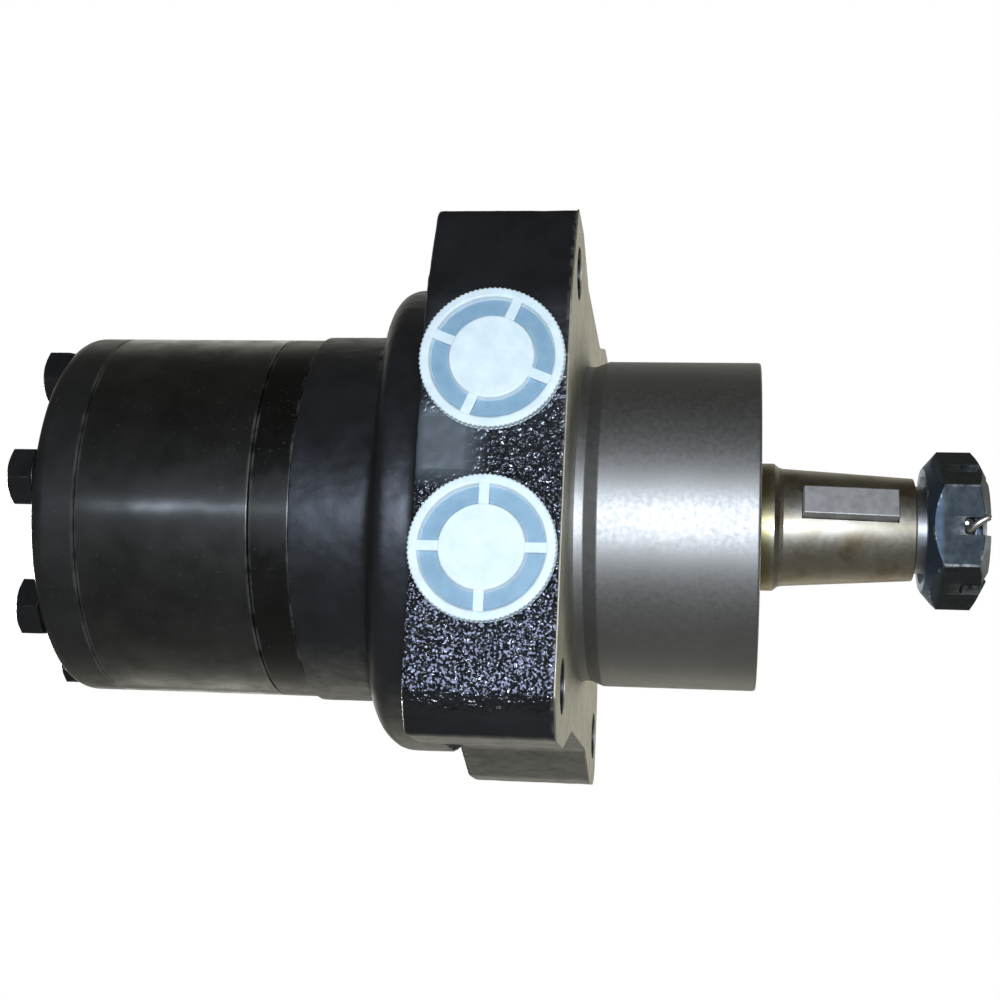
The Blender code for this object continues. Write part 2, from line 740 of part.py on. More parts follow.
def dust_seal():
    lip = COLLAR_R + GAP
    rear, front = DUST_SEAL
    back, face = DUST_WAIST_R
    profile = [(rear, back), (rear, SEAL_R), (front, SEAL_R), (front, face)]
    profile += [(DUST_LIP_END, lip), (rear + 2.5, lip)]
    finish("dust_seal", turned(profile, 32, True), RUBBER)


# ---------------------------------------------------------------- port plugs


def port_plug(name, z, turn):
    """A moulded cap: rim, recessed web, round hub, four ribs, and a hollow barrel inside the port."""
    back = PORT_FACE + GAP
    web = back + PLUG_WEB
    top = back + PLUG_HEIGHT
    depth = PORT_FACE - PLUG_REACH
    bore = PLUG_BARREL_BORE_R
    profile = [(back - 1.0, bore), (depth, bore), (depth, PLUG_BARREL_R - 0.5), (back, PLUG_BARREL_R)]
    profile += [(back, PLUG_R), (top, PLUG_R), (top, PLUG_RIM_R), (web, PLUG_RIM_R)]
    profile += [(web, PLUG_HUB_R), (top, PLUG_HUB_R)]
    body = finish(name, along_y(profile, PORT_X, z, 30), PLASTIC, (PORT_X, -PORT_FACE, z))
    reach = PLUG_RIM_R + 0.8
    for i in range(2):
        rib = block(-reach, reach, -(top - 0.25), -(web - 0.5), -PLUG_RIB_HALF, PLUG_RIB_HALF)
        angle = turn + i * math.pi / 2
        bmesh.ops.rotate(rib, cent=(0, 0, 0), matrix=Matrix.Rotation(angle, 3, "Y"), verts=rib.verts)
        bmesh.ops.translate(rib, vec=(PORT_X, 0, z), verts=rib.verts)
        boolean(body, rib, f"ribs_{i + 1}", "UNION")


def main():
    clear_scene()
    housing()
    spacer_plate()
    stator_ring()
    end_cover()
    for index, angle in enumerate(stack_bolt_angles(), 1):
        cover_bolt(index, angle)
    orings()
    rotor()
    rollers()
    drive_link()
    drive_link_spacer()
    output_shaft()
    shaft_key()
    slotted_nut()
    cotter_pin()
    bearing("rear_bearing", REAR_BEARING)
    bearing("front_bearing", FRONT_BEARING)
    bearing_spacer()
    thrust_washer()
    shaft_seal()
    retaining_ring()
    dust_seal()
    port_plug("port_plug_upper", PORT_Z, math.radians(22))
    port_plug("port_plug_lower", -PORT_Z, 0.0)


main()
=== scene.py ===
"""Looks for the wheel-mount hydraulic motor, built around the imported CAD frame.

Sizes and places are millimetres in the part's own frame: +X runs along the shaft towards the nut, +Z is up,
and the ports face -Y. The origin is on the shaft's axis, in the plane of the machined mounting face. Only the
lamps, the camera and the floor are in metres.
"""

import math

import bmesh
import bpy
from mathutils import Matrix, Vector, noise


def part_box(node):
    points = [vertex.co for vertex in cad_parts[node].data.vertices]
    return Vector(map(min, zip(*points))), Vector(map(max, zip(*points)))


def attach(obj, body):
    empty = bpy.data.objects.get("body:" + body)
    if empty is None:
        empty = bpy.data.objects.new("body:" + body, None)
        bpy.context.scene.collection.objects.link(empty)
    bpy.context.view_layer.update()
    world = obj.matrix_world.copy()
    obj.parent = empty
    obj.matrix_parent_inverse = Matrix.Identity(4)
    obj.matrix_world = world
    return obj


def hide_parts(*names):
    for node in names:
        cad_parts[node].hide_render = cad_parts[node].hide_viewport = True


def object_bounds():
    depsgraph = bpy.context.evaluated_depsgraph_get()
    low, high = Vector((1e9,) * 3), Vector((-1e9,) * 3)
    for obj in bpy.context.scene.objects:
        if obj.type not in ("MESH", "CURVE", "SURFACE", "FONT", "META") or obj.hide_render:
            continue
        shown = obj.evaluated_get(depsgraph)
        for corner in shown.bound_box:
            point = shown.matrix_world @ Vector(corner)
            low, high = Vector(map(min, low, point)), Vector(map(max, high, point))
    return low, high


MM = 0.001
FINE = 168  # steps round a turned piece
PAST = 3  # how far a cutter runs past the face it enters by
TUBE_TIPS = (0.55, 0.9)  # a tube's radius at its last two points, as shares of the full radius

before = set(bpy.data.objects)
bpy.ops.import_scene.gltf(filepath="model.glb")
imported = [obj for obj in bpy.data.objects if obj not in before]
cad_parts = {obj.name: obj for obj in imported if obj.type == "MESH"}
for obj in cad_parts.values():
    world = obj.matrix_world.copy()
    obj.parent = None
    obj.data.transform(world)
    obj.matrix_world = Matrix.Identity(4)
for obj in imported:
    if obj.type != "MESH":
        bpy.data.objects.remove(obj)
cad_low, cad_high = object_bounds()


def cad(node):
    """A CAD node's lowest and highest corners in millimetres."""
    low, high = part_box(node)
    return low / MM, high / MM


def length_of(node):
    """Where a CAD node starts and ends along the shaft."""
    low, high = cad(node)
    return low.x, high.x


# ---- mesh helpers


def new_object(name, data):
    """An object in the scene."""
    made = bpy.data.objects.new(name, data)
    bpy.context.scene.collection.objects.link(made)
    return made


def to_object(name, tool, smooth_angle=32):
    """An object from a bmesh in millimetres."""
    for vert in tool.verts:
        vert.co *= MM
    bmesh.ops.recalc_face_normals(tool, faces=tool.faces)
    mesh = bpy.data.meshes.new(name)
    tool.to_mesh(mesh)
    tool.free()
    mesh.shade_smooth()
    mesh.set_sharp_from_angle(angle=math.radians(smooth_angle))
    return new_object(name, mesh)


def settle(target):
    """Applies every modifier of an object to its mesh."""
    bpy.context.view_layer.update()
    graph = bpy.context.evaluated_depsgraph_get()
    mesh = bpy.data.meshes.new_from_object(target.evaluated_get(graph))
    old = target.data
    target.modifiers.clear()
    target.data = mesh
    bpy.data.meshes.remove(old)


def cut(target, tool, operation="DIFFERENCE"):
    """Cuts a bmesh tool from an object, or adds it."""
    helper = to_object("helper", tool)
    step = target.modifiers.new("cut", "BOOLEAN")
    step.operation = operation
    step.object = helper
    step.solver = "EXACT"
    settle(target)
    bpy.data.objects.remove(helper)


def soften(target, width, steps=2):
    """Rounds the hard edges of an object and evens its shading."""
    bevel = target.modifiers.new("soften", "BEVEL")
    bevel.width = width * MM
    bevel.segments = steps
    bevel.limit_method = "ANGLE"
    bevel.angle_limit = math.radians(28)
    bevel.use_clamp_overlap = True
    settle(target)
    return even(target)


def even(target):
    """Shades an object smoothly and keeps its flat faces flat."""
    target.data.shade_smooth()
    target.data.set_sharp_from_angle(angle=math.radians(40))
    step = target.modifiers.new("even", "WEIGHTED_NORMAL")
    step.keep_sharp = True
    return target


def loft(rings, closed=False):
    """A skin over equal rings of points, with flat ends unless the last ring joins the first."""
    tool = bmesh.new()
    made = [[tool.verts.new(p) for p in ring] for ring in rings]
    pairs = list(zip(made, made[1:]))
    if closed:
        pairs.append((made[-1], made[0]))
    else:
        tool.faces.new(made[0])
        tool.faces.new(made[-1])
    for a, b in pairs:
        for i in range(len(a)):
            j = (i + 1) % len(a)
            tool.faces.new((a[i], a[j], b[j], b[i]))
    return tool


def around(angle, radius):
    """(y, z) at an angle above the port side."""
    return (-radius * math.cos(angle), radius * math.sin(angle))


def circle(x, radius, count):
    return [(x, *around(2 * math.pi * i / count, radius)) for i in range(count)]


def turn(tool, angle, axis):
    """Turns a bmesh about an axis through the origin."""
    matrix = Matrix.Rotation(angle, 3, axis)
    bmesh.ops.rotate(tool, cent=(0, 0, 0), matrix=matrix, verts=tool.verts)
    return tool


def shift(tool, x, y, z):
    """Moves a bmesh."""
    bmesh.ops.translate(tool, vec=(x, y, z), verts=tool.verts)
    return tool


def turned(profile, count=FINE, closed=False):
    """A solid of revolution about X over (x, radius) points; a closed one is a ring."""
    return loft([circle(x, r, count) for x, r in profile], closed)


def bar(x0, x1, radius, count=48, centre=(0.0, 0.0)):
    return shift(turned([(x0, radius), (x1, radius)], count), 0, *centre)


def prism(outline, x0, x1):
    return loft([[(x0, y, z) for y, z in outline], [(x1, y, z) for y, z in outline]])


def box_tool(x0, x1, y0, y1, z0, z1):
    return prism([(y0, z0), (y1, z0), (y1, z1), (y0, z1)], x0, x1)


def rounded(points, radius, steps=4, closed=False):
    """A polyline with its corners eased by arcs of about `radius`, or of one radius for each point."""
    count = len(points)
    radii = radius if isinstance(radius, (list, tuple)) else [radius] * count
    out = []
    for i in range(count):
        here = Vector(points[i])
        if not closed and i in (0, count - 1) or radii[i] <= 0:
            out.append(tuple(here))
            continue
        before = Vector(points[(i - 1) % count]) - here
        after = Vector(points[(i + 1) % count]) - here
        corner = before.angle(after)
        reach = radii[i] / math.tan(corner / 2) if corner < math.pi - 0.02 else 0
        reach = min(reach, before.length * 0.48, after.length * 0.48)
        if reach <= 1e-6:
            out.append(tuple(here))
            continue
        a = here + before.normalized() * reach
        b = here + after.normalized() * reach
        for k in range(steps + 1):
            t = k / steps
            out.append(tuple(a * (1 - t) ** 2 + here * 2 * t * (1 - t) + b * t * t))
    return out


def eased_corners(corners, steps):
    """A closed outline with eased corners, from (a, b, how far that corner is eased)."""
    points = [corner[:2] for corner in corners]
    return rounded(points, [corner[2] for corner in corners], steps, closed=True)


def along_y(profile, x, z, count=96):
    """A solid of revolution about a line along -Y through (x, z), over (distance along -Y, radius) points."""
    return shift(turn(turned(profile, count), -math.pi / 2, "Z"), x, 0, z)


def spun(tool, angle):
    """Turns a shape made facing -Y so that it faces `angle` above -Y, about the X axis."""
    return turn(tool, -angle, "X")


def sweep(path, radius, sides=14):
    """A tube along a path of points, tapered at both ends."""
    points = [Vector(p) for p in path]
    last = len(points) - 1
    rings = []
    side = Vector((0, 0, 1))
    for i, here in enumerate(points):
        ahead = (points[min(i + 1, last)] - points[max(i - 1, 0)]).normalized()
        side = (side - ahead * side.dot(ahead)).normalized()
        other = ahead.cross(side)
        from_end = min(i, last - i)
        r = radius * (TUBE_TIPS[from_end] if from_end < len(TUBE_TIPS) else 1)
        ring = []
        for k in range(sides):
            angle = 2 * math.pi * k / sides
            ring.append(here + (side * math.cos(angle) + other * math.sin(angle)) * r)
        rings.append(ring)
    return loft(rings)


def spline(points, steps=5):
    """A smooth path through points, a Catmull-Rom curve."""
    knots = [Vector(p) for p in points]
    knots = [knots[0] * 2 - knots[1]] + knots + [knots[-1] * 2 - knots[-2]]
    out = []
    for a, b, c, d in zip(knots, knots[1:], knots[2:], knots[3:]):
        for k in range(steps):
            t = k / steps
            square = 2 * a - 5 * b + 4 * c - d
            cube = 3 * b - a - 3 * c + d
            out.append(0.5 * ((2 * b) + (c - a) * t + square * t**2 + cube * t**3))
    out.append(knots[-2])
    return out


# ---- material helpers

DEEP_BLACK = (0.002, 0.002, 0.002)
PAINT_SPECK = (0.09, 0.10, 0.115)
BARE_EDGE = (0.22, 0.21, 0.19)
STACK_SHADE = (-125, -105)  # where the painted shade starts: ring and plate are painted a deeper black above the axis, from here towards the housing
END_WEAR = 0.8  # wear at a turned piece's ends starts this far in
END_WEAR_FULL = 0.3
LINE_DEPTH = 0.005  # depth of the turning marks


class Look:
    """A Principled material and short calls for its nodes."""

    def __init__(self, name, **plain):
        self.material = bpy.data.materials.new(name)
        self.material.use_nodes = True
        self.tree = self.material.node_tree
        self.shader = self.tree.nodes["Principled BSDF"]
        for key, value in plain.items():
            self.shader.inputs[key.replace("_", " ")].default_value = value
        self.place = self.node("ShaderNodeTexCoord").outputs["Object"]

    def node(self, kind, **settings):
        made = self.tree.nodes.new(kind)
        for key, value in settings.items():
            setattr(made, key, value)
        return made

    def feed(self, socket, value):
        if isinstance(value, bpy.types.NodeSocket):
            self.tree.links.new(value, socket)
        else:
            socket.default_value = value

    def math(self, operation, a, b=0.0):
        made = self.node("ShaderNodeMath", operation=operation)
        self.feed(made.inputs[0], a)
        self.feed(made.inputs[1], b)
        return made.outputs[0]

    def times(self, *values):
        """The product of several values."""
        product = values[0]
        for value in values[1:]:
            product = self.math("MULTIPLY", product, value)
        return product

    def noise(self, size, detail=3.0, rough=0.55, distortion=0.0):
        """Noise whose features are about `size` millimetres."""
        made = self.node("ShaderNodeTexNoise")
        self.feed(made.inputs["Vector"], self.place)
        made.inputs["Scale"].default_value = 1 / (size * MM)
        made.inputs["Detail"].default_value = detail
        made.inputs["Roughness"].default_value = rough
        made.inputs["Distortion"].default_value = distortion
        return made.outputs["Fac"]

    def lines(self, value, size, detail=4.0):
        """Noise along one distance only, for turning marks about `size` millimetres apart."""
        made = self.node("ShaderNodeTexNoise", noise_dimensions="1D")
        self.feed(made.inputs["W"], value)
        made.inputs["Scale"].default_value = 1 / (size * MM)
        made.inputs["Detail"].default_value = detail
        return made.outputs["Fac"]

    def span(self, value, low, high, to_low=0.0, to_high=1.0):
        """Maps a value from low..high to to_low..to_high, and holds it there outside."""
        made = self.node("ShaderNodeMapRange", clamp=True)
        self.feed(made.inputs["Value"], value)
        for key, number in zip(("From Min", "From Max", "To Min", "To Max"), (low, high, to_low, to_high)):
            made.inputs[key].default_value = number
        return made.outputs["Result"]

    def blotches(self, size, detail, low, high, to_low=0.0, to_high=1.0):
        """Noise about `size` millimetres across, mapped from low..high."""
        return self.span(self.noise(size, detail), low, high, to_low, to_high)

    def zone(self, distance, low, high, to_low=0.0, to_high=1.0):
        """A span over a distance, with low and high in millimetres."""
        return self.span(distance, low * MM, high * MM, to_low, to_high)

    def mix(self, factor, a, b):
        made = self.node("ShaderNodeMix", data_type="RGBA")
        self.feed(made.inputs["Factor"], factor)
        for key, value in (("A", a), ("B", b)):
            linked = isinstance(value, bpy.types.NodeSocket)
            self.feed(made.inputs[key], value if linked else (*value, 1))
        return made.outputs["Result"]

    def xyz(self):
        made = self.node("ShaderNodeSeparateXYZ")
        self.feed(made.inputs[0], self.place)
        return made.outputs

    def radius(self):
        """Distance from the shaft's axis."""
        _, y, z = self.xyz()
        return self.math("SQRT", self.math("ADD", self.times(y, y), self.times(z, z)))

    def edge(self, low=0.52, high=0.6):
        """How far a place is on a worn outer edge."""
        return self.span(self.node("ShaderNodeNewGeometry").outputs["Pointiness"], low, high)

    def bump(self, layers):
        """Bumps stacked from (height socket, strength, depth in millimetres)."""
        normal = None
        for height, strength, depth in layers:
            made = self.node("ShaderNodeBump")
            made.inputs["Strength"].default_value = strength
            made.inputs["Distance"].default_value = depth * MM
            self.feed(made.inputs["Height"], height)
            if normal:
                self.feed(made.inputs["Normal"], normal)
            normal = made.outputs["Normal"]
        self.feed(self.shader.inputs["Normal"], normal)

    def color(self, value):
        self.feed(self.shader.inputs["Base Color"], value)

    def rough(self, value):
        self.feed(self.shader.inputs["Roughness"], value)


def paint_look(name, dark, light, rough, grain, grain_depth, wear, patch=18.0, coat=0.35, ends=None):
    """Semi-gloss black paint: uneven tone, a patchy glossy coat, orange peel, and worn edges.

    With `ends`, a CAD node, the wear keeps to that node's two ends along the shaft.
    """
    look = Look(name, IOR=1.5, Coat_Roughness=0.17)
    gloss = look.blotches(9, 4, 0.35, 0.65, coat * 0.4, coat * 1.3)
    look.feed(look.shader.inputs["Coat Weight"], gloss)
    tone = look.mix(look.blotches(patch, 4, 0.35, 0.7), dark, light)
    x, _, z = look.xyz()
    # painted shade: ring and plate are darker above the axis
    shaded = look.times(look.zone(z, -4, 7), look.zone(x, *STACK_SHADE))
    tone = look.mix(look.times(shaded, 0.6), tone, DEEP_BLACK)
    specks = look.blotches(0.9, 2, 0.66, 0.74)
    tone = look.mix(look.times(specks, 0.25), tone, PAINT_SPECK)
    if ends:
        rear, front = length_of(ends)
        at_rear = look.zone(x, rear + END_WEAR, rear + END_WEAR_FULL)
        at_front = look.zone(x, front - END_WEAR, front - END_WEAR_FULL)
        mask = look.times(look.math("ADD", at_rear, at_front), look.blotches(8.0, 4, 0.42, 0.6))
    else:
        mask = look.times(look.edge(), look.blotches(2.2, 4, 0.42, 0.6))
    tone = look.mix(look.times(mask, wear), tone, BARE_EDGE)
    look.color(tone)
    look.rough(look.blotches(6.0, 5, 0.3, 0.7, rough - 0.06, rough + 0.08))
    look.bump([(look.noise(grain, 3), 0.5, grain_depth), (look.noise(0.35, 2), 0.2, 0.015)])
    return look.material


def steel_look(name, dark, light, rough, line_size, patch, marks=None):
    """Turned steel: fine rings round the shaft's axis, patches of tone, and marks that a function adds."""
    look = Look(name, Metallic=1.0, Anisotropic=0.1)
    x, _, _ = look.xyz()
    fine = look.lines(x, line_size)
    coarse = look.lines(x, line_size * 7, 2)
    tone = look.mix(look.span(look.noise(patch, 5, 0.5), 0.3, 0.7), dark, light)
    tone = look.mix(look.span(fine, 0.3, 0.75, 0.0, 0.2), tone, tuple(c * 0.7 for c in dark))
    if marks:
        tone = marks(look, x, tone)
    # painted highlight: the edges are lighter
    painted_edge_shine = look.times(look.edge(0.53, 0.62), 0.6)
    look.color(look.mix(painted_edge_shine, tone, (0.78, 0.78, 0.8)))
    look.rough(look.blotches(1.3, 4, 0.3, 0.7, rough - 0.04, rough + 0.04))
    turning = [(coarse, 0.3, LINE_DEPTH * 1.6), (fine, 0.5, LINE_DEPTH)]
    look.bump(turning + [(look.noise(0.5, 3), 0.25, LINE_DEPTH)])
    tangent = look.node("ShaderNodeTangent", direction_type="RADIAL", axis="X")
    look.feed(look.shader.inputs["Tangent"], tangent.outputs[0])
    return look.material


def shaft_marks(look, x, tone):
    """The shaft's tones: a stain, an olive band on the collar, painted shade on the threads inside the nut,
    and a painted bluish highlight from the neck behind the nut onwards.
    """
    tone = look.mix(look.blotches(9.0, 4, 0.48, 0.68, 0.0, 0.6), tone, (0.22, 0.15, 0.07))
    nose_end = length_of("housing")[1]
    thread = length_of("slotted_nut")[0]
    bands = [  # start, full, strength and colour
        # an olive band on the collar next to the nose
        (nose_end + 3.6, nose_end + 2.6, 0.7, (0.30, 0.27, 0.11)),
        # painted shade: near black from just inside the nut onwards
        (thread + 0.4, thread + 0.8, 0.93, (0.02, 0.02, 0.022)),
        # painted highlight: bluish from the neck behind the nut onwards
        (thread - 2.2, thread - 1.8, 0.5, (0.30, 0.36, 0.46)),
    ]
    for start, full, strength, color in bands:
        tone = look.mix(look.zone(x, start, full, 0.0, strength), tone, color)
    return tone


def cast_look():
    """Glossy black paint over a rough casting, coarse on the port block and finer elsewhere."""
    look = Look("cast_paint", IOR=1.6, Specular_Tint=(0.84, 0.88, 1.0, 1.0))
    x, y, z = look.xyz()
    port_side = look.zone(y, -67.5, -65.5, 1.0, 0.0)
    low = look.zone(z, 36, -12)
    # a smooth grey patch on the port face, between the two ports and behind them
    across = look.times(look.zone(x, -18, -24), look.zone(z, 14, 9))
    patch = look.times(across, look.zone(z, -9, -4), port_side)
    rough_part = look.times(port_side, low, look.math("SUBTRACT", 1.0, patch))
    tone = look.mix(look.blotches(14, 4, 0.35, 0.7), (0.007, 0.0075, 0.008), (0.013, 0.014, 0.016))
    # painted highlights: light sparkles on the grain's crests, more of them lower down, none on the lower
    # chamfer
    painted_sparkle_noise = look.math("ADD", look.noise(0.7, 1.0, 0.4), look.zone(z, -20, -55, 0.0, 0.07))
    crest = look.times(look.span(painted_sparkle_noise, 0.60, 0.68), look.zone(z, 0, -45, 0.3, 1.0))
    crest = look.times(crest, look.zone(z, -57.2, -56.0))
    tone = look.mix(look.times(crest, rough_part), tone, (0.30, 0.31, 0.43))
    # a dusty film and painted light from below on faces that look down
    geometry = look.node("ShaderNodeNewGeometry")
    facing = look.node("ShaderNodeSeparateXYZ")
    look.feed(facing.inputs[0], geometry.outputs["Normal"])
    dust_and_painted_underlight = look.times(look.span(facing.outputs["Z"], -0.8, -0.97), look.blotches(4, 4, 0.2, 0.6))
    tone = look.mix(dust_and_painted_underlight, tone, (0.095, 0.09, 0.07))
    worn = look.times(look.edge(0.53, 0.6), look.blotches(2.5, 4, 0.45, 0.62))
    tone = look.mix(look.times(worn, 0.35), tone, (0.2, 0.19, 0.17))
    look.color(look.mix(look.times(patch, 0.9), tone, (0.075, 0.09, 0.10)))
    matt = look.blotches(5, 4, 0.3, 0.7, 0.33, 0.43)
    look.rough(look.math("SUBTRACT", matt, look.times(rough_part, 0.19)))
    coarse = look.times(look.noise(1.5, 1.0, 0.4, distortion=0.5), rough_part)
    look.bump([(coarse, 1.0, 1.8), (look.noise(2.4, 3), 0.5, 0.10), (look.noise(0.45, 2), 0.25, 0.02)])
    return look.material


def machined_look():
    """Bare faced iron: arcs about the shaft's axis, olive film, small dark pits."""
    look = Look("machined_iron", Metallic=0.85)
    rings = look.lines(look.radius(), 0.35)
    tone = look.mix(look.blotches(7, 5, 0.35, 0.7), (0.30, 0.285, 0.215), (0.42, 0.40, 0.33))
    tone = look.mix(look.blotches(0.7, 2, 0.62, 0.72, 0.0, 0.6), tone, (0.12, 0.11, 0.085))
    look.color(tone)
    look.rough(look.blotches(2, 4, 0.3, 0.7, 0.42, 0.6))
    look.bump([(rings, 0.5, 0.03), (look.noise(0.8, 3), 0.3, 0.03)])
    return look.material


def oxide_look():
    """Black-oxide steel, slate blue, with a painted bluish reflection on its rear chamfer, and worn bright
    along its edges.
    """
    look = Look("black_oxide", Metallic=0.9)
    tone = look.mix(look.blotches(3.0, 5, 0.35, 0.68), (0.024, 0.031, 0.037), (0.044, 0.054, 0.062))
    tone = look.mix(look.blotches(1.1, 3, 0.58, 0.72, 0.0, 0.4), tone, (0.07, 0.06, 0.075))
    x, _, _ = look.xyz()
    rear = length_of("slotted_nut")[0]
    # painted reflection: the rear chamfer is a lighter blue
    tone = look.mix(look.zone(x, rear + 4.2, rear + 3.0, 0.0, 0.75), tone, (0.075, 0.105, 0.15))
    worn = look.times(look.edge(0.515, 0.56), look.blotches(1.6, 3, 0.3, 0.55))
    tone = look.mix(look.times(worn, 0.5), tone, (0.45, 0.46, 0.45))
    look.color(tone)
    look.rough(look.blotches(2.2, 4, 0.3, 0.7, 0.48, 0.60))
    look.bump([(look.noise(0.6, 4), 0.35, 0.04), (look.noise(3.5, 2), 0.2, 0.08)])
    return look.material


def plastic_look(name, low, high, glow):
    """Milky moulded plastic with a fine matt skin and slight scuffs."""
    look = Look(name, IOR=1.48, Subsurface_Weight=glow, Subsurface_Scale=2 * MM)
    look.color(look.mix(look.blotches(4.5, 4, 0.35, 0.68), low, high))
    look.rough(look.blotches(1.6, 4, 0.3, 0.7, 0.38, 0.55))
    look.bump([(look.noise(1.4, 4), 0.25, 0.05), (look.noise(0.3, 2), 0.2, 0.015)])
    return look.material


def plain_metal(name, low, high, rough, size=1.5):
    """Bare metal with fine marks and a slightly uneven tone."""
    look = Look(name, Metallic=1.0)
    look.color(look.mix(look.span(look.noise(size * 3, 4), 0.35, 0.68), low, high))
    look.rough(look.blotches(size, 4, 0.3, 0.7, rough - 0.06, rough + 0.08))
    look.bump([(look.noise(size * 0.4, 3), 0.25, 0.02)])
    return look.material


def rubber_look():
    """Dull black rubber."""
    look = Look("seal_rubber", IOR=1.5)
    look.color(look.mix(look.blotches(3, 4, 0.35, 0.7), (0.012, 0.012, 0.013), (0.03, 0.03, 0.031)))
    look.rough(look.blotches(1.2, 3, 0.3, 0.7, 0.55, 0.75))
    look.bump([(look.noise(0.4, 3), 0.3, 0.03)])
    return look.material


LOOKS = {
    "ring": paint_look(
        "ring_paint", dark=(0.0075, 0.008, 0.0075), light=(0.012, 0.0125, 0.012), rough=0.38,
        grain=1.0, grain_depth=0.012, wear=0.25, coat=0.95, ends="stator_ring",
    ),
    "plate": paint_look(
        "plate_paint", dark=DEEP_BLACK, light=(0.0035, 0.0035, 0.003), rough=0.33,
        grain=0.8, grain_depth=0.015, wear=0.3, coat=0.1, ends="spacer_plate",
    ),
    "cover": paint_look(
        "cover_paint", dark=(0.013, 0.0135, 0.0135), light=(0.019, 0.0195, 0.0195), rough=0.42,
        grain=1.0, grain_depth=0.015, wear=0.25, ends="end_cover",
    ),
    "bolt": paint_look(
        "bolt_paint", dark=(0.006, 0.007, 0.008), light=(0.011, 0.012, 0.014), rough=0.45,
        grain=0.7, grain_depth=0.02, wear=0.4, patch=5, coat=0.2,
    ),
    "cast": cast_look(),
    "machined": machined_look(),
    "nose": steel_look(
        "nose_steel", dark=(0.265, 0.26, 0.25), light=(0.305, 0.30, 0.29), rough=0.51,
        line_size=0.16, patch=22,
    ),
    "shaft": steel_look(
        "shaft_steel", dark=(0.36, 0.32, 0.25), light=(0.47, 0.44, 0.38), rough=0.40,
        line_size=0.12, patch=6, marks=shaft_marks,
    ),
    "key": plain_metal("key_steel", (0.52, 0.51, 0.50), (0.62, 0.61, 0.60), 0.60, 2.0),
    "nut": oxide_look(),
    "wire": plain_metal("bright_wire", (0.66, 0.66, 0.62), (0.82, 0.82, 0.80), 0.35),
    "steel": plain_metal("ground_steel", (0.46, 0.46, 0.47), (0.58, 0.58, 0.59), 0.25),
    "iron": plain_metal("bare_iron", (0.19, 0.19, 0.18), (0.26, 0.26, 0.24), 0.45),
    "bronze": plain_metal("bronze", (0.50, 0.36, 0.19), (0.62, 0.46, 0.26), 0.35),
    "rubber": rubber_look(),
    "plug": plastic_look("plug_white", (0.58, 0.67, 0.69), (0.67, 0.76, 0.78), 0.2),
    "web": plastic_look("plug_blue", (0.17, 0.29, 0.385), (0.215, 0.345, 0.44), 0.1),
}


def piece(made, look, body, slot, *nodes):
    """Gives a new piece its material and its body, and hides the CAD nodes that it stands for."""
    if not made.data.materials:
        made.data.materials.append(LOOKS[look])
    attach(made, body)
    if nodes:
        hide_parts(*nodes)


# ---- housing

GAP = 0.3  # clearance between neighbouring pieces, as in the CAD model
HOUSING_REAR, NOSE_END = length_of("housing")
STACK_R = cad("spacer_plate")[1].y
EAR_HALF = cad("housing")[1].z
BACK_HALF = cad("housing")[1].y
PORT_FACE = -cad("housing")[0].y
PLUG_LOW, PLUG_HIGH = cad("port_plug_upper")
PORT_X = (PLUG_LOW.x + PLUG_HIGH.x) / 2
PORT_Z = (PLUG_LOW.z + PLUG_HIGH.z) / 2
PORT_R = 10.3
PORT_DEPTH = 25
SPOTFACE_R = 16.2
SPOTFACE_DEPTH = 0.6
FLANGE_REAR = -36.0
EAR_START = 45.0
NOTCH_HALF = 59.2
NOTCH_END = 24.0
LOW_NOTCH_END = -22.0  # the lower notch ends sooner on the port side
BACK_EAR_START = 42.0
BACK_NOTCH_END = 22.0
PORT_FACE_TOP = 40.0
PORT_FACE_LOW = -57.3
PORT_EAR_TOP = -60.5
PORT_EAR_LOW = -62.0
BODY_R = 50.4
DISC_R = 63.3
DISC_FRONT = -34.0
DISC_EDGE = -44.8
CYLINDER_FRONT = -54.0
SPOOL_BORE_R = 21.8
CHAMBER_REAR = -7.1  # the front bearing's chamber
CHAMBER_R = 43.0
HOLE_R = 6.75
HOLE_REAR = -60
HOLE_PLACE = 73.8 / math.sqrt(2)
SKIN = 0.5  # thickness of the machined face's own piece
NOSE_R = 44.2
NOSE_RELIEF_R = 42.8
NOSE_RELIEF = (2.3, 5.8)  # where its straight part ends, and where the nose has its full radius
NOSE_ROOT = -0.7  # the turned piece starts inside the flange
BORE_R = 31.3
SEAL_GROOVE = (37.9, 40.1)
SEAL_GROOVE_R = 33.0
LINER_REAR = -6.8  # the turned piece lines the chamber as far back as this
LINER_R = 42.3
GRAIN_SIZE = 5.5  # the casting's unevenness
GRAIN_RISE = 0.16
GRAIN_SINK = 0.05
GRAIN_ELSEWHERE = 0.45  # its share away from the port face
PORT_SIDE = -66  # the port face and its edges lie beyond this y
GRAIN_PLAIN = (-1.5, 45)  # none in front of this x or nearer the axis than this
PORT_GRAIN = 0.15  # how far the port face's grain may stand proud
BOX_GAP = 0.02  # the other sides stay this far inside the CAD box


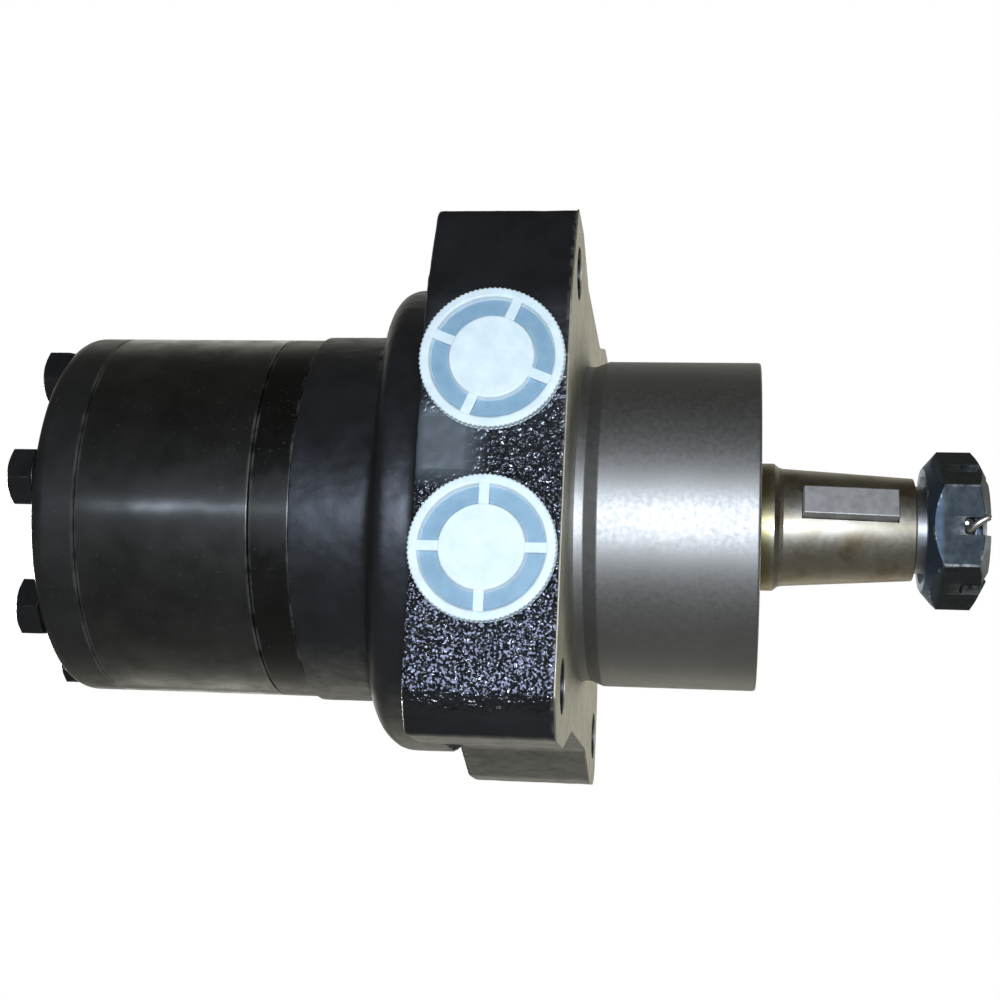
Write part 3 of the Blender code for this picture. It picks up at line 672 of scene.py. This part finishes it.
def flange_outline():
    """Four eased ears with shallow notches between them; the port side reaches further, to the port face."""
    corners = [  # y, z and how far the corner is eased
        (-PORT_FACE, PORT_FACE_TOP, 14),
        (PORT_EAR_TOP, EAR_HALF, 1.5),
        (-EAR_START, EAR_HALF, 6),
        (-NOTCH_END, NOTCH_HALF, 14),
        (NOTCH_END, NOTCH_HALF, 14),
        (EAR_START, EAR_HALF, 6),
        (BACK_HALF, EAR_HALF, 12),
        (BACK_HALF, BACK_EAR_START, 6),
        (NOTCH_HALF, BACK_NOTCH_END, 14),
        (NOTCH_HALF, -BACK_NOTCH_END, 14),
        (BACK_HALF, -BACK_EAR_START, 6),
        (BACK_HALF, -EAR_HALF, 12),
        (EAR_START, -EAR_HALF, 6),
        (NOTCH_END, -NOTCH_HALF, 14),
        (LOW_NOTCH_END, -NOTCH_HALF, 14),
        (-EAR_START, -EAR_HALF, 6),
        (PORT_EAR_LOW, -EAR_HALF, 1.2),
        (-PORT_FACE, PORT_FACE_LOW, 1.2),
    ]
    return eased_corners(corners, 6)


def hole_places():
    """The mounting holes' axes as (y, z)."""
    return [(y, z) for y in (-HOLE_PLACE, HOLE_PLACE) for z in (-HOLE_PLACE, HOLE_PLACE)]


def disc_ring(step, steps, count):
    """One ring of the disc's cast shoulder, shorter towards the port side."""
    rise = math.pi / 2 * step / steps
    ring = []
    for i in range(count):
        angle = 2 * math.pi * i / count
        length = (DISC_EDGE - CYLINDER_FRONT) * (1 - 0.5 * max(0.0, math.cos(angle)) ** 2)
        x = DISC_EDGE - length * math.cos(rise)
        ring.append((x, *around(angle, BODY_R + (DISC_R - BODY_R) * math.sin(rise))))
    return ring


def slice_flat(tool, x, keep):
    """Cuts a bmesh at a plane across X and closes it with a flat face; keep is +1 for the side towards +X."""
    done = bmesh.ops.bisect_plane(
        tool,
        geom=tool.verts[:] + tool.edges[:] + tool.faces[:],
        plane_co=(x, 0, 0),
        plane_no=(1, 0, 0),
        clear_outer=keep < 0,
        clear_inner=keep > 0,
    )
    edges = [e for e in done["geom_cut"] if isinstance(e, bmesh.types.BMEdge)]
    bmesh.ops.triangle_fill(tool, use_beauty=True, edges=edges)


def casting_blank():
    """The casting with its bores and holes, sharp-edged."""
    count = 144
    steps = 10
    rings = [circle(HOUSING_REAR - 2, BODY_R, count)]
    rings += [disc_ring(i, steps, count) for i in range(steps + 1)]
    rings.append(circle(DISC_FRONT, DISC_R, count))
    body = to_object("housing_casting", loft(rings))
    cut(body, prism(flange_outline(), FLANGE_REAR, 1.5), "UNION")
    bore = [(HOUSING_REAR - PAST, SPOOL_BORE_R), (CHAMBER_REAR, SPOOL_BORE_R)]
    bore += [(CHAMBER_REAR, CHAMBER_R), (PAST, CHAMBER_R)]
    cut(body, turned(bore, 96))
    spotface = PORT_FACE - SPOTFACE_DEPTH
    port = [(PORT_FACE - PORT_DEPTH, PORT_R), (spotface, PORT_R)]
    port += [(spotface, SPOTFACE_R), (PORT_FACE + PAST, SPOTFACE_R)]
    for side in (-1, 1):
        cut(body, along_y(port, PORT_X, side * PORT_Z))
    for place in hole_places():
        cut(body, bar(HOLE_REAR, PAST, HOLE_R, 48, place))
    return body


def casting():
    """The cast and painted body: a soft-edged skin with a slightly uneven surface and machined ends."""
    body = casting_blank()
    remesh = body.modifiers.new("skin", "REMESH")
    remesh.mode = "VOXEL"
    remesh.voxel_size = 0.95 * MM
    ease = body.modifiers.new("ease", "SMOOTH")
    ease.factor = 0.5
    ease.iterations = 5
    settle(body)
    tool = bmesh.new()
    tool.from_mesh(body.data)
    plain_x, plain_r = GRAIN_PLAIN
    for vert in tool.verts:
        place = vert.co * 1000
        vert.co = place
        if place.x < plain_x and math.hypot(place.y, place.z) > plain_r:
            share = 1.0 if place.y < PORT_SIDE else GRAIN_ELSEWHERE
            rise = noise.fractal(place / GRAIN_SIZE, 0.6, 2.0, 3) * GRAIN_RISE * share
            vert.co = place + vert.normal * (rise - GRAIN_SINK)
    slice_flat(tool, -SKIN, -1)
    slice_flat(tool, HOUSING_REAR, 1)
    low, high = cad_low * 1000, cad_high * 1000
    for vert in tool.verts:
        vert.co.y = max(-PORT_FACE - PORT_GRAIN, min(high.y - BOX_GAP, vert.co.y))
        vert.co.z = max(low.z + BOX_GAP, min(high.z - BOX_GAP, vert.co.z))
    bpy.data.objects.remove(body)
    made = to_object("housing_casting", tool, 42)
    piece(made, "cast", "housing_group", "black_paint", "housing")


def machined_face():
    """The bare faced plane that the machine's bracket seats on, with eased holes."""
    made = to_object("housing_mounting_face", prism(flange_outline(), -SKIN, 0.0))
    cut(made, bar(-5, 5, NOSE_RELIEF_R + 0.05, FINE))
    for place in hole_places():
        cut(made, bar(-5, 5, HOLE_R, 64, place))
    soften(made, width=0.18)
    piece(made, "machined", "housing_group", "bare_iron")


def nose():
    """The turned pilot: relief at the flange, eased lips, and the seal bore with its ring groove."""
    relief_end, full = NOSE_RELIEF
    groove_rear, groove_front = SEAL_GROOVE
    corners = [  # x, radius and how far the corner is eased
        (NOSE_ROOT, NOSE_RELIEF_R, 0),
        (relief_end, NOSE_RELIEF_R, 1.2),
        (full, NOSE_R, 1.5),
        (NOSE_END, NOSE_R, 0.9),
        (NOSE_END, BORE_R, 0.6),
        (groove_front, BORE_R, 0.1),
        (groove_front, SEAL_GROOVE_R, 0.1),
        (groove_rear, SEAL_GROOVE_R, 0.1),
        (groove_rear, BORE_R, 0.1),
        (LINER_REAR, BORE_R, 0.3),
        (LINER_REAR, LINER_R, 0.3),
        (NOSE_ROOT, LINER_R, 0),
    ]
    made = even(to_object("housing_nose", turned(eased_corners(corners, 4), FINE, True)))
    piece(made, "nose", "housing_group", "turned_steel")


# ---- rear stack

PLATE = length_of("spacer_plate")
RING = length_of("stator_ring")
COVER = length_of("end_cover")
BOLT = length_of("cover_bolt_1")
BOLTS = 7
BOLT_R = 4.76
BOLT_HOLE_R = BOLT_R + 0.4
BOLT_TIP_R = 3.8
HEAD_FLATS = 14.3
HEAD_FOOT = 0.8  # from the head's hexagon to the cover
HEAD_DISH = (0.25, 3.6)  # depth and radius
WASHER_FACE = (0.7, 6.9)  # height and radius of the face under the head
PLATE_BORE_R = 13.0
COVER_ROUND = (3.8, 2.6)  # length and height of the cover's rounded rim
COVER_EDGE = 0.3
COVER_CORE_R = 30.0
STACK_CUT = (-150, -60)  # a cutter through the stack
ROLLERS = 7
ROLLER_CIRCLE = 27.5
ROLLER_R = 5.2


def bolt_places():
    """The cover bolts' axes as (y, z)."""
    boxes = [cad(f"cover_bolt_{i + 1}") for i in range(BOLTS)]
    return [((low.y + high.y) / 2, (low.z + high.z) / 2) for low, high in boxes]


def gerotor_outline():
    """The ring's bore with a round pocket for each roller."""
    bore, pocket = ROLLER_CIRCLE + 0.6, ROLLER_R + 0.3
    pitch = 2 * math.pi / ROLLERS
    meet = math.acos((ROLLER_CIRCLE**2 + bore**2 - pocket**2) / (2 * ROLLER_CIRCLE * bore))
    outline = []
    for i in range(ROLLERS):
        middle = pitch * (i + 0.5)
        cy, cz = around(middle, ROLLER_CIRCLE)
        outline += [around(middle - pitch / 2 + (pitch / 2 - meet) * k / 4, bore) for k in range(4)]
        entry = around(middle - meet, bore)
        start = math.atan2(entry[1] - cz, -(entry[0] - cy))
        swing = 2 * (middle - start) % (2 * math.pi)
        for k in range(17):
            angle = start + swing * k / 16
            outline.append((cy - pocket * math.cos(angle), cz + pocket * math.sin(angle)))
        outline += [around(middle + meet + (pitch / 2 - meet) * k / 4, bore) for k in range(1, 4)]
    return outline


def stack_piece(name, profile, bore=None):
    """A turned piece of the rear stack with its bolt holes, and a bore where one is given."""
    made = to_object(name, turned(profile))
    for place in bolt_places():
        cut(made, bar(*STACK_CUT, BOLT_HOLE_R, 32, place))
    if bore:
        cut(made, bore)
    return even(made)


def eased(x0, x1, radius, rear, front):
    """A plain cylinder's profile with small eased edges at its two ends."""
    points = [(x0, radius - 8), (x0, radius), (x1, radius), (x1, radius - 8)]
    return rounded(points, [0, rear, front, 0], 3)


def cover_profile():
    """The cover: a rounded rear rim, a plain side and an eased front edge."""
    rear, front = COVER
    length, height = COVER_ROUND
    rim = []
    for i in range(9):
        angle = math.pi / 2 * i / 8
        rim.append((rear + length * (1 - math.sin(angle)), STACK_R - height * (1 - math.cos(angle))))
    side = [(front - COVER_EDGE, STACK_R), (front, STACK_R - COVER_EDGE), (front, COVER_CORE_R)]
    return [(rear, COVER_CORE_R)] + rim[::-1] + side


def rear_stack():
    """The wear plate, the geroler ring and the end cover."""
    plate_bore = bar(*STACK_CUT, PLATE_BORE_R, 96)
    plate = stack_piece("spacer_plate_body", eased(*PLATE, STACK_R, rear=0.35, front=0.45), plate_bore)
    piece(plate, "plate", "housing_group", "black_paint", "spacer_plate")
    ring_bore = prism(gerotor_outline(), RING[0] - 2, RING[1] + 2)
    ring = stack_piece("geroler_ring_body", eased(*RING, STACK_R, rear=0.3, front=0.35), ring_bore)
    piece(ring, "ring", "housing_group", "black_paint", "stator_ring")
    cover = stack_piece("end_cover_body", cover_profile())
    piece(cover, "cover", "housing_group", "black_paint", "end_cover")


def hexagon(flats, x0, x1, rear, front, parts=6, fine=96):
    """A hexagon bar cut by a cone at each end, as a turned blank is.

    rear and front are each cone's length along the bar and its slope in degrees.
    """
    corner = flats / math.sqrt(3)
    chamfer0, slope0 = rear
    chamfer1, slope1 = front
    rise0, rise1 = (math.tan(math.radians(slope)) for slope in (slope0, slope1))
    steps = [i / parts for i in range(parts + 1)]
    stations = [x0 + chamfer0 * s for s in steps] + [x1 - chamfer1 * s for s in reversed(steps)]
    rings = []
    for x in stations:
        bite0 = max(0.0, chamfer0 - (x - x0)) / rise0
        bite1 = max(0.0, chamfer1 - (x1 - x)) / rise1
        limit = corner - max(bite0, bite1)
        ring = []
        for i in range(fine):
            angle = 2 * math.pi * i / fine
            sector = (angle + math.pi / 6) % (math.pi / 3) - math.pi / 6
            ring.append((x, *around(angle, min(limit, flats / 2 / math.cos(sector)))))
        rings.append(ring)
    return loft(rings)


def cover_bolts():
    """The bolts, each head turned to a slightly different angle."""
    top, tip = BOLT
    seat = COVER[0] - GAP
    dish_depth, dish_r = HEAD_DISH
    washer_height, washer_r = WASHER_FACE
    profile = [(seat - washer_height, washer_r), (seat, washer_r), (seat, BOLT_R)]
    profile += [(tip - 1, BOLT_R), (tip, BOLT_TIP_R)]
    for index, place in enumerate(bolt_places(), 1):
        tool = hexagon(HEAD_FLATS, top, COVER[0] - HEAD_FOOT, rear=(1.1, 30.0), front=(0.25, 30.0))
        shift(turn(tool, math.radians(index * 5 % 7 - 19), "X"), 0, *place)
        made = to_object(f"cover_bolt_{index}_body", tool, 25)
        cut(made, bar(top - PAST, top + dish_depth, dish_r, 32, place))
        soften(made, width=0.22)
        cut(made, shift(turned(profile, 32), 0, *place), "UNION")
        piece(even(made), "bolt", "housing_group", "black_paint", f"cover_bolt_{index}")


# ---- shaft group

TAPER_START = 51.7
TAPER_END = 87.0
TAPER_R = 15.9
TAPER = 1 / 16  # change of radius per length, a 1:8 taper on diameter
COLLAR_R = 17.2
COLLAR_END = 51.2
JOURNAL_R = 19.0
JOURNAL_END = 30.0
SPOOL_R = 21.5
SPOOL_END = -7.6
SPOOL_GROOVE_R = 19.4
SPOOL_GROOVE_HALF = 2.5
SPOOL_GROOVE_OFFSET = 5.5  # each oil groove's distance from the ports, along the shaft
SOCKET_R = 11.0  # the bore for the drive link
SOCKET = (-75, -32)
THREAD_R = 12.7
THREAD_ROOT_R = 11.75
THREAD_NECK_R = 11.7
THREAD_NECK_END = 89.4
THREAD_START = 90.2
THREAD_PITCH = 1.81
THREAD_FORM = (0.42, 0.56, 0.98)  # the crest's start and end and the flank's foot, as shares of the pitch
CENTRE_DRILL = (3.2, 0.4, 3.4)  # depth, and the radii at its bottom and its mouth
SHAFT_START, SHAFT_END = length_of("output_shaft")
KEY_ANGLE = math.radians(11.7)
KEY_SIZE = 7.94
KEY_LENGTH = 24.6
KEY_RISE = 2.5  # how far it stands above the taper
KEY_START = 57.6
NUT_ANGLE = math.radians(-9.0)
NUT_FLATS = 36.5
NUT = length_of("slotted_nut")
NUT_REAR_CONE = (3.9, 40.7)  # length and slope in degrees
NUT_FRONT_CONE = (3.4, 28.0)
NUT_THREAD = (13.2, 12.8)  # crest and root radius, clear of the shaft's thread
NUT_BORE_R = 13.0
SLOT_DEPTH = 7.2
SLOT_WIDTH = 4.6
SLOT_CORNER = 1.2
COTTER_X = 99.5
COTTER_WIRE_R = 0.9
COTTER_HOLE_R = 2.6
COTTER_EYE_R = 2.6
COTTER_EYE_REACH = 3.6  # the eye's centre stands this far off the nut
COTTER_EYE_SWEEP = 280


def taper_radius(x):
    return TAPER_R - (x - TAPER_START) * TAPER


def threads(x0, x1, crest, root):
    """Points of a thread's section from x0 to x1."""
    crest_start, crest_end, foot = (share * THREAD_PITCH for share in THREAD_FORM)
    out = []
    for i in range(int((x1 - x0) / THREAD_PITCH)):
        x = x0 + i * THREAD_PITCH
        out += [(x, root), (x + crest_start, crest), (x + crest_end, crest), (x + foot, root)]
    return out


def key_block(clearance, extra, rise):
    """The key lying along the taper, or its seat's cutter, with clearance, extra length and rise."""
    half = KEY_SIZE / 2 + clearance
    middle = KEY_START + KEY_LENGTH / 2
    surface = taper_radius(middle)
    reach = KEY_LENGTH / 2 + extra
    bottom = surface + KEY_RISE - KEY_SIZE - clearance
    tool = box_tool(-reach, reach, -(surface + KEY_RISE + rise), -bottom, -half, half)
    turn(shift(tool, 0, surface, 0), math.atan(TAPER), "Z")
    return spun(shift(tool, middle, -surface, 0), KEY_ANGLE)


def shaft_profile():
    """The shaft from the spool to the thread, as (x, radius)."""
    profile = [(SHAFT_START, SPOOL_R)]
    for middle in (PORT_X - SPOOL_GROOVE_OFFSET, PORT_X + SPOOL_GROOVE_OFFSET):
        rear = middle - SPOOL_GROOVE_HALF
        front = middle + SPOOL_GROOVE_HALF
        profile += [(rear, SPOOL_R), (rear, SPOOL_GROOVE_R), (front, SPOOL_GROOVE_R), (front, SPOOL_R)]
    profile += [(SPOOL_END, SPOOL_R), (SPOOL_END, JOURNAL_R), (JOURNAL_END, JOURNAL_R)]
    profile += [(JOURNAL_END, COLLAR_R), (COLLAR_END - 0.9, COLLAR_R), (COLLAR_END + 0.4, TAPER_R + 0.25)]
    profile += [(x, taper_radius(x)) for x in (COLLAR_END + 1.4, TAPER_END)]
    profile += [(TAPER_END, THREAD_NECK_R), (THREAD_NECK_END, THREAD_NECK_R)]
    profile = rounded(profile, 0.35, 3)
    profile.append((THREAD_NECK_END + 0.4, THREAD_NECK_R))
    profile += threads(THREAD_START, SHAFT_END - 1.6, THREAD_R, THREAD_ROOT_R)
    chamfer = [(1.3, 0.3), (0.2, 1.3), (0, 1.6)]
    return profile + [(SHAFT_END - back, THREAD_R - down) for back, down in chamfer]


def shaft():
    """The shaft with its socket, keyseat, split-pin hole and centre drilling, and the key."""
    made = to_object("output_shaft_body", turned(shaft_profile(), 144))
    cut(made, bar(*SOCKET, SOCKET_R, 48))
    cut(made, key_block(GAP, GAP, PAST))
    pin_hole = along_y([(-20, COTTER_HOLE_R), (20, COTTER_HOLE_R)], COTTER_X, 0, 32)
    cut(made, spun(pin_hole, NUT_ANGLE))
    depth, bottom_r, mouth_r = CENTRE_DRILL
    cut(made, turned([(SHAFT_END - depth, bottom_r), (SHAFT_END + 0.6, mouth_r)], 48))
    piece(even(made), "shaft", "shaft_group", "turned_steel", "output_shaft")
    key = soften(to_object("shaft_key_body", key_block(0, 0, 0)), width=0.35, steps=3)
    piece(key, "key", "shaft_group", "key_steel", "shaft_key")


def nut():
    """The slotted nut: a chamfered hexagon with six slots in its front and a threaded bore."""
    rear, front = NUT
    tool = hexagon(NUT_FLATS, rear, front, NUT_REAR_CONE, NUT_FRONT_CONE, parts=20, fine=192)
    made = to_object("slotted_nut_body", spun(tool, NUT_ANGLE), 25)
    half = SLOT_WIDTH / 2
    outline = rounded([(-half, 14), (-half, 0), (half, 0), (half, 14)], SLOT_CORNER, 6)
    for i in range(3):
        slot = loft([[(front - SLOT_DEPTH + depth, y, z) for z, depth in outline] for y in (-30.0, 30.0)])
        cut(made, spun(slot, NUT_ANGLE + i * math.pi / 3))
    bore = rounded([(rear - 2, 15.0), (rear, 14.4), (rear + 1.2, NUT_BORE_R)], 0.1, 2)
    bore += threads(rear + 1.4, front - 1.6, *NUT_THREAD)
    bore += [(front - 1.2, NUT_BORE_R), (front, 14.2), (front + 2, 15.0)]
    cut(made, turned(bore, 96))
    soften(made, width=0.22)
    piece(made, "nut", "shaft_group", "black_oxide", "slotted_nut")


def cotter():
    """The split pin: one wire with a bent leg, an eye, and a second leg that ends inside the nut's slot."""
    half = COTTER_WIRE_R + GAP / 2
    reach = NUT_FLATS / 2
    eye = reach + COTTER_EYE_REACH
    points = [(5.1, -reach - 2.1, 2.3), (3.4, -reach - 2.2, 1.5), (1.7, -reach - 1.9, 0.4)]
    points += [(0.4, -reach - 0.9, 0.2 - half), (0, -reach + 0.6, -half), (0, -5, -half), (0, 8, -half)]
    points.append((0, reach + 0.5, -half))
    for i in range(11):
        angle = math.radians(COTTER_EYE_SWEEP * i / 10 - COTTER_EYE_SWEEP / 2)
        points.append((0, eye + COTTER_EYE_R * math.cos(angle), COTTER_EYE_R * math.sin(angle)))
    points += [(0, reach + 0.5, half), (0, 8, half), (0, -5, half), (0, -reach + 4.6, half)]
    tool = shift(sweep(spline(points), COTTER_WIRE_R), COTTER_X, 0, 0)
    made = to_object("cotter_pin_body", spun(tool, NUT_ANGLE), 60)
    piece(made, "wire", "shaft_group", "bright_wire", "cotter_pin")


# ---- port plugs

PLUG_TOP = -PLUG_LOW.y
PLUG_BACK = PORT_FACE + GAP
PLUG_WEB = PLUG_TOP - 1.5  # the recessed web's outer face
PLUG_R = 17.7
PLUG_RIM_R = 15.2
PLUG_HUB_R = 10.25
PLUG_BARREL_R = 9.7
PLUG_BARREL_BORE_R = 7.7
PLUG_REACH = 14
SERRATIONS = 90
SERRATION_DEPTH = 0.3
RIB = (9.8, 16.0)  # a rib's inner and outer end
RIB_HALF = 1.2
RIB_SINK = 0.22  # how far the ribs lie below the rim


def plug_profile():
    """The plug from its barrel to the middle of its hub, as (distance along -Y, radius)."""
    top, web, back = PLUG_TOP, PLUG_WEB, PLUG_BACK
    tip = PORT_FACE - PLUG_REACH
    hub_foot = (web, PLUG_HUB_R + 0.25)
    barrel = [(back - 0.9, PLUG_BARREL_BORE_R + 0.2), (tip, PLUG_BARREL_BORE_R), (tip, PLUG_BARREL_R - 0.5)]
    barrel.append((back - 0.4, PLUG_BARREL_R))
    rim = [(back, PLUG_BARREL_R), (back, PLUG_R - 0.15), (top, PLUG_R), (top, PLUG_RIM_R)]
    rim += [(web, PLUG_RIM_R - 0.4), hub_foot, (top, PLUG_HUB_R)]
    rim = rounded(rim, [0.1, 0.35, 0.7, 0.7, 0.5, 0.3, 0.5], 4)
    hub = [hub_foot, (top, PLUG_HUB_R), (top - 0.12, 5.0), (top - 0.2, 0.6)]
    hub = rounded(hub, [0.3, 0.5, 3, 0], 4)
    # the rim stops where the curve at the hub's foot starts, and the hub goes on from its own first curve
    return barrel + rim[:-5] + hub[1:]


def serrate(made, centre):
    """Pulls the rim's side in between fine teeth."""
    for vert in made.data.vertices:
        place = vert.co * 1000 - centre
        reach = math.hypot(place.x, place.z)
        if reach > PLUG_R - 0.6 and -place.y > PLUG_BACK + 0.3:
            angle = math.atan2(place.z, place.x)
            pull = SERRATION_DEPTH * (0.5 + 0.5 * math.cos(angle * SERRATIONS))
            vert.co.x -= place.x / reach * pull * MM
            vert.co.z -= place.z / reach * pull * MM


def plug(name, body, side, rib_angle):
    """A moulded transit plug: serrated rim, recessed web, round hub, four ribs and a hollow barrel."""
    z = side * PORT_Z
    centre = Vector((PORT_X, 0, z))
    made = to_object(name + "_cap", along_y(plug_profile(), PORT_X, z, 180))
    serrate(made, centre)
    for i in range(4):
        rib = box_tool(*RIB, -(PLUG_TOP - RIB_SINK), -(PLUG_WEB - 0.4), -RIB_HALF, RIB_HALF)
        turn(rib, rib_angle + i * math.pi / 2, "Y")
        cut(made, shift(rib, PORT_X, 0, z), "UNION")
    made.data.materials.clear()
    for look in ("plug", "web"):
        made.data.materials.append(LOOKS[look])
    for face in made.data.polygons:
        place = face.center * 1000 - centre
        reach = math.hypot(place.x, place.z)
        if PLUG_HUB_R + 0.05 < reach < PLUG_RIM_R - 0.05 and -place.y < PLUG_WEB + 0.12:
            face.material_index = 1
    piece(even(made), "plug", body, "plug_plastic", name)


# ---- inner pieces and stage


def inner_looks():
    """Materials for the CAD nodes that stay as they are."""
    steel = ["rotor", "drive_link", "drive_link_spacer"] + [f"roller_{i + 1}" for i in range(ROLLERS)]
    for end in ("front", "rear"):
        steel += [f"{end}_bearing_{part}" for part in ("inner_race", "outer_race", "rollers")]
    rubber = ["shaft_seal", "dust_seal"] + [f"oring_{place}" for place in ("front", "middle", "rear")]
    table = {name: "steel" for name in steel}
    table |= {name: "rubber" for name in rubber}
    table |= {"bearing_spacer": "iron", "retaining_ring": "iron", "thrust_washer": "bronze"}
    for name, look in table.items():
        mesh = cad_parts[name].data
        mesh.materials.clear()
        mesh.materials.append(LOOKS[look])


FLOOR_HEIGHT = -0.30
FLOOR_RADIUS = 1.8
ROOM_FRONT = (0.060, 0.056, 0.041, 1)  # light from the camera's side
ROOM_BACK = (0.80, 0.79, 0.72, 1)  # and from behind the object
WARM = (1.0, 0.99, 0.95)
LAMPS = {  # place, target, size, watts, colour and spread in degrees
    "key": ((0.03, -0.50, -0.085), (-0.01, 0, 0), (0.08, 0.055), 0.5, (0.80, 0.88, 1.0), 80),
    "back": ((0.0, 0.55, 0.35), (-0.03, 0.62, -0.3), (0.4, 0.4), 1.25, (1.0, 0.97, 0.84), 75),
    "rear": ((-0.55, 0.6, 0.08), (-0.07, 0.0, 0.04), (0.3, 0.2), 0.22, WARM, 30),
    "side": ((0.75, 0.35, 0.06), (0.0, 0.0, 0.04), (0.3, 0.2), 0.10, WARM, 30),
    "left": ((-0.22, -0.50, -0.075), (-0.09, 0.0, 0.0), (0.12, 0.035), 0.02, (0.74, 0.86, 1.0), 70),
}
CAMERA_PLACE = (0.036765, -0.449605, -0.107594)
CAMERA_RIGHT = (0.99126, 0.12216, 0.04987)
CAMERA_AHEAD = (-0.13068, 0.96112, 0.24324)
CAMERA_LENS = 60.81  # for a sensor 36 mm wide


def floor():
    """A plain pale floor."""
    made = new_object("floor", bpy.data.meshes.new("floor"))
    tool = bmesh.new()
    bmesh.ops.create_circle(tool, cap_ends=True, segments=64, radius=FLOOR_RADIUS)
    tool.to_mesh(made.data)
    tool.free()
    made.location.z = FLOOR_HEIGHT
    look = Look("floor_paper", Roughness=0.9)
    look.color(look.mix(look.blotches(60, 3, 0.3, 0.7), (0.80, 0.80, 0.79), (0.84, 0.84, 0.83)))
    made.data.materials.append(look.material)


def room():
    """Soft light, brighter from behind the object, and a plain white backdrop."""
    world = bpy.data.worlds.new("studio")
    bpy.context.scene.world = world
    world.use_nodes = True
    tree = world.node_tree
    tree.nodes.clear()
    node = tree.nodes.new
    link = tree.links.new
    place = node("ShaderNodeTexCoord")
    parts = node("ShaderNodeSeparateXYZ")
    link(place.outputs["Generated"], parts.inputs[0])
    behind = node("ShaderNodeMapRange")
    behind.interpolation_type = "SMOOTHSTEP"
    link(parts.outputs["Y"], behind.inputs["Value"])
    behind.inputs["From Min"].default_value = 0.25
    behind.inputs["From Max"].default_value = 1.0
    shade = node("ShaderNodeMix")
    shade.data_type = "RGBA"
    link(behind.outputs["Result"], shade.inputs["Factor"])
    shade.inputs["A"].default_value = ROOM_FRONT
    shade.inputs["B"].default_value = ROOM_BACK
    light = node("ShaderNodeBackground")
    link(shade.outputs["Result"], light.inputs["Color"])
    seen = node("ShaderNodeBackground")
    seen.inputs["Color"].default_value = (1, 1, 1, 1)
    path = node("ShaderNodeLightPath")
    both = node("ShaderNodeMixShader")
    link(path.outputs["Is Camera Ray"], both.inputs["Fac"])
    link(light.outputs[0], both.inputs[1])
    link(seen.outputs[0], both.inputs[2])
    out = node("ShaderNodeOutputWorld")
    link(both.outputs[0], out.inputs["Surface"])


def lamp(name, place, target, size, watts, color, spread):
    """A soft rectangular lamp aimed at a point, its beam narrowed to `spread` degrees."""
    data = bpy.data.lights.new(name, "AREA")
    data.shape = "RECTANGLE"
    data.size, data.size_y = size
    data.spread = math.radians(spread)
    data.energy = watts
    data.color = color
    made = new_object(name, data)
    made.location = place
    made.rotation_mode = "QUATERNION"
    made.rotation_quaternion = (Vector(target) - Vector(place)).to_track_quat("-Z", "Y")


def camera():
    """A long lens in front of the port side, below the shaft and looking up a little."""
    data = bpy.data.cameras.new("camera")
    data.lens = CAMERA_LENS
    data.sensor_width = 36.0
    data.clip_start = 0.01
    made = new_object("camera", data)
    right = Vector(CAMERA_RIGHT).normalized()
    ahead = Vector(CAMERA_AHEAD).normalized()
    up = right.cross(ahead).normalized()
    right = ahead.cross(up)
    aim = Matrix((right, up, -ahead)).transposed().to_4x4()
    made.matrix_world = Matrix.Translation(CAMERA_PLACE) @ aim
    bpy.context.scene.camera = made


def main():
    camera()
    floor()
    room()
    for name, settings in LAMPS.items():
        lamp(name, *settings)
    inner_looks()
    casting()
    machined_face()
    nose()
    rear_stack()
    cover_bolts()
    shaft()
    nut()
    cotter()
    plug("port_plug_upper", "upper_plug", 1, math.radians(22))
    plug("port_plug_lower", "lower_plug", -1, 0.0)
    bpy.context.scene.view_settings.view_transform = "Standard"


main()
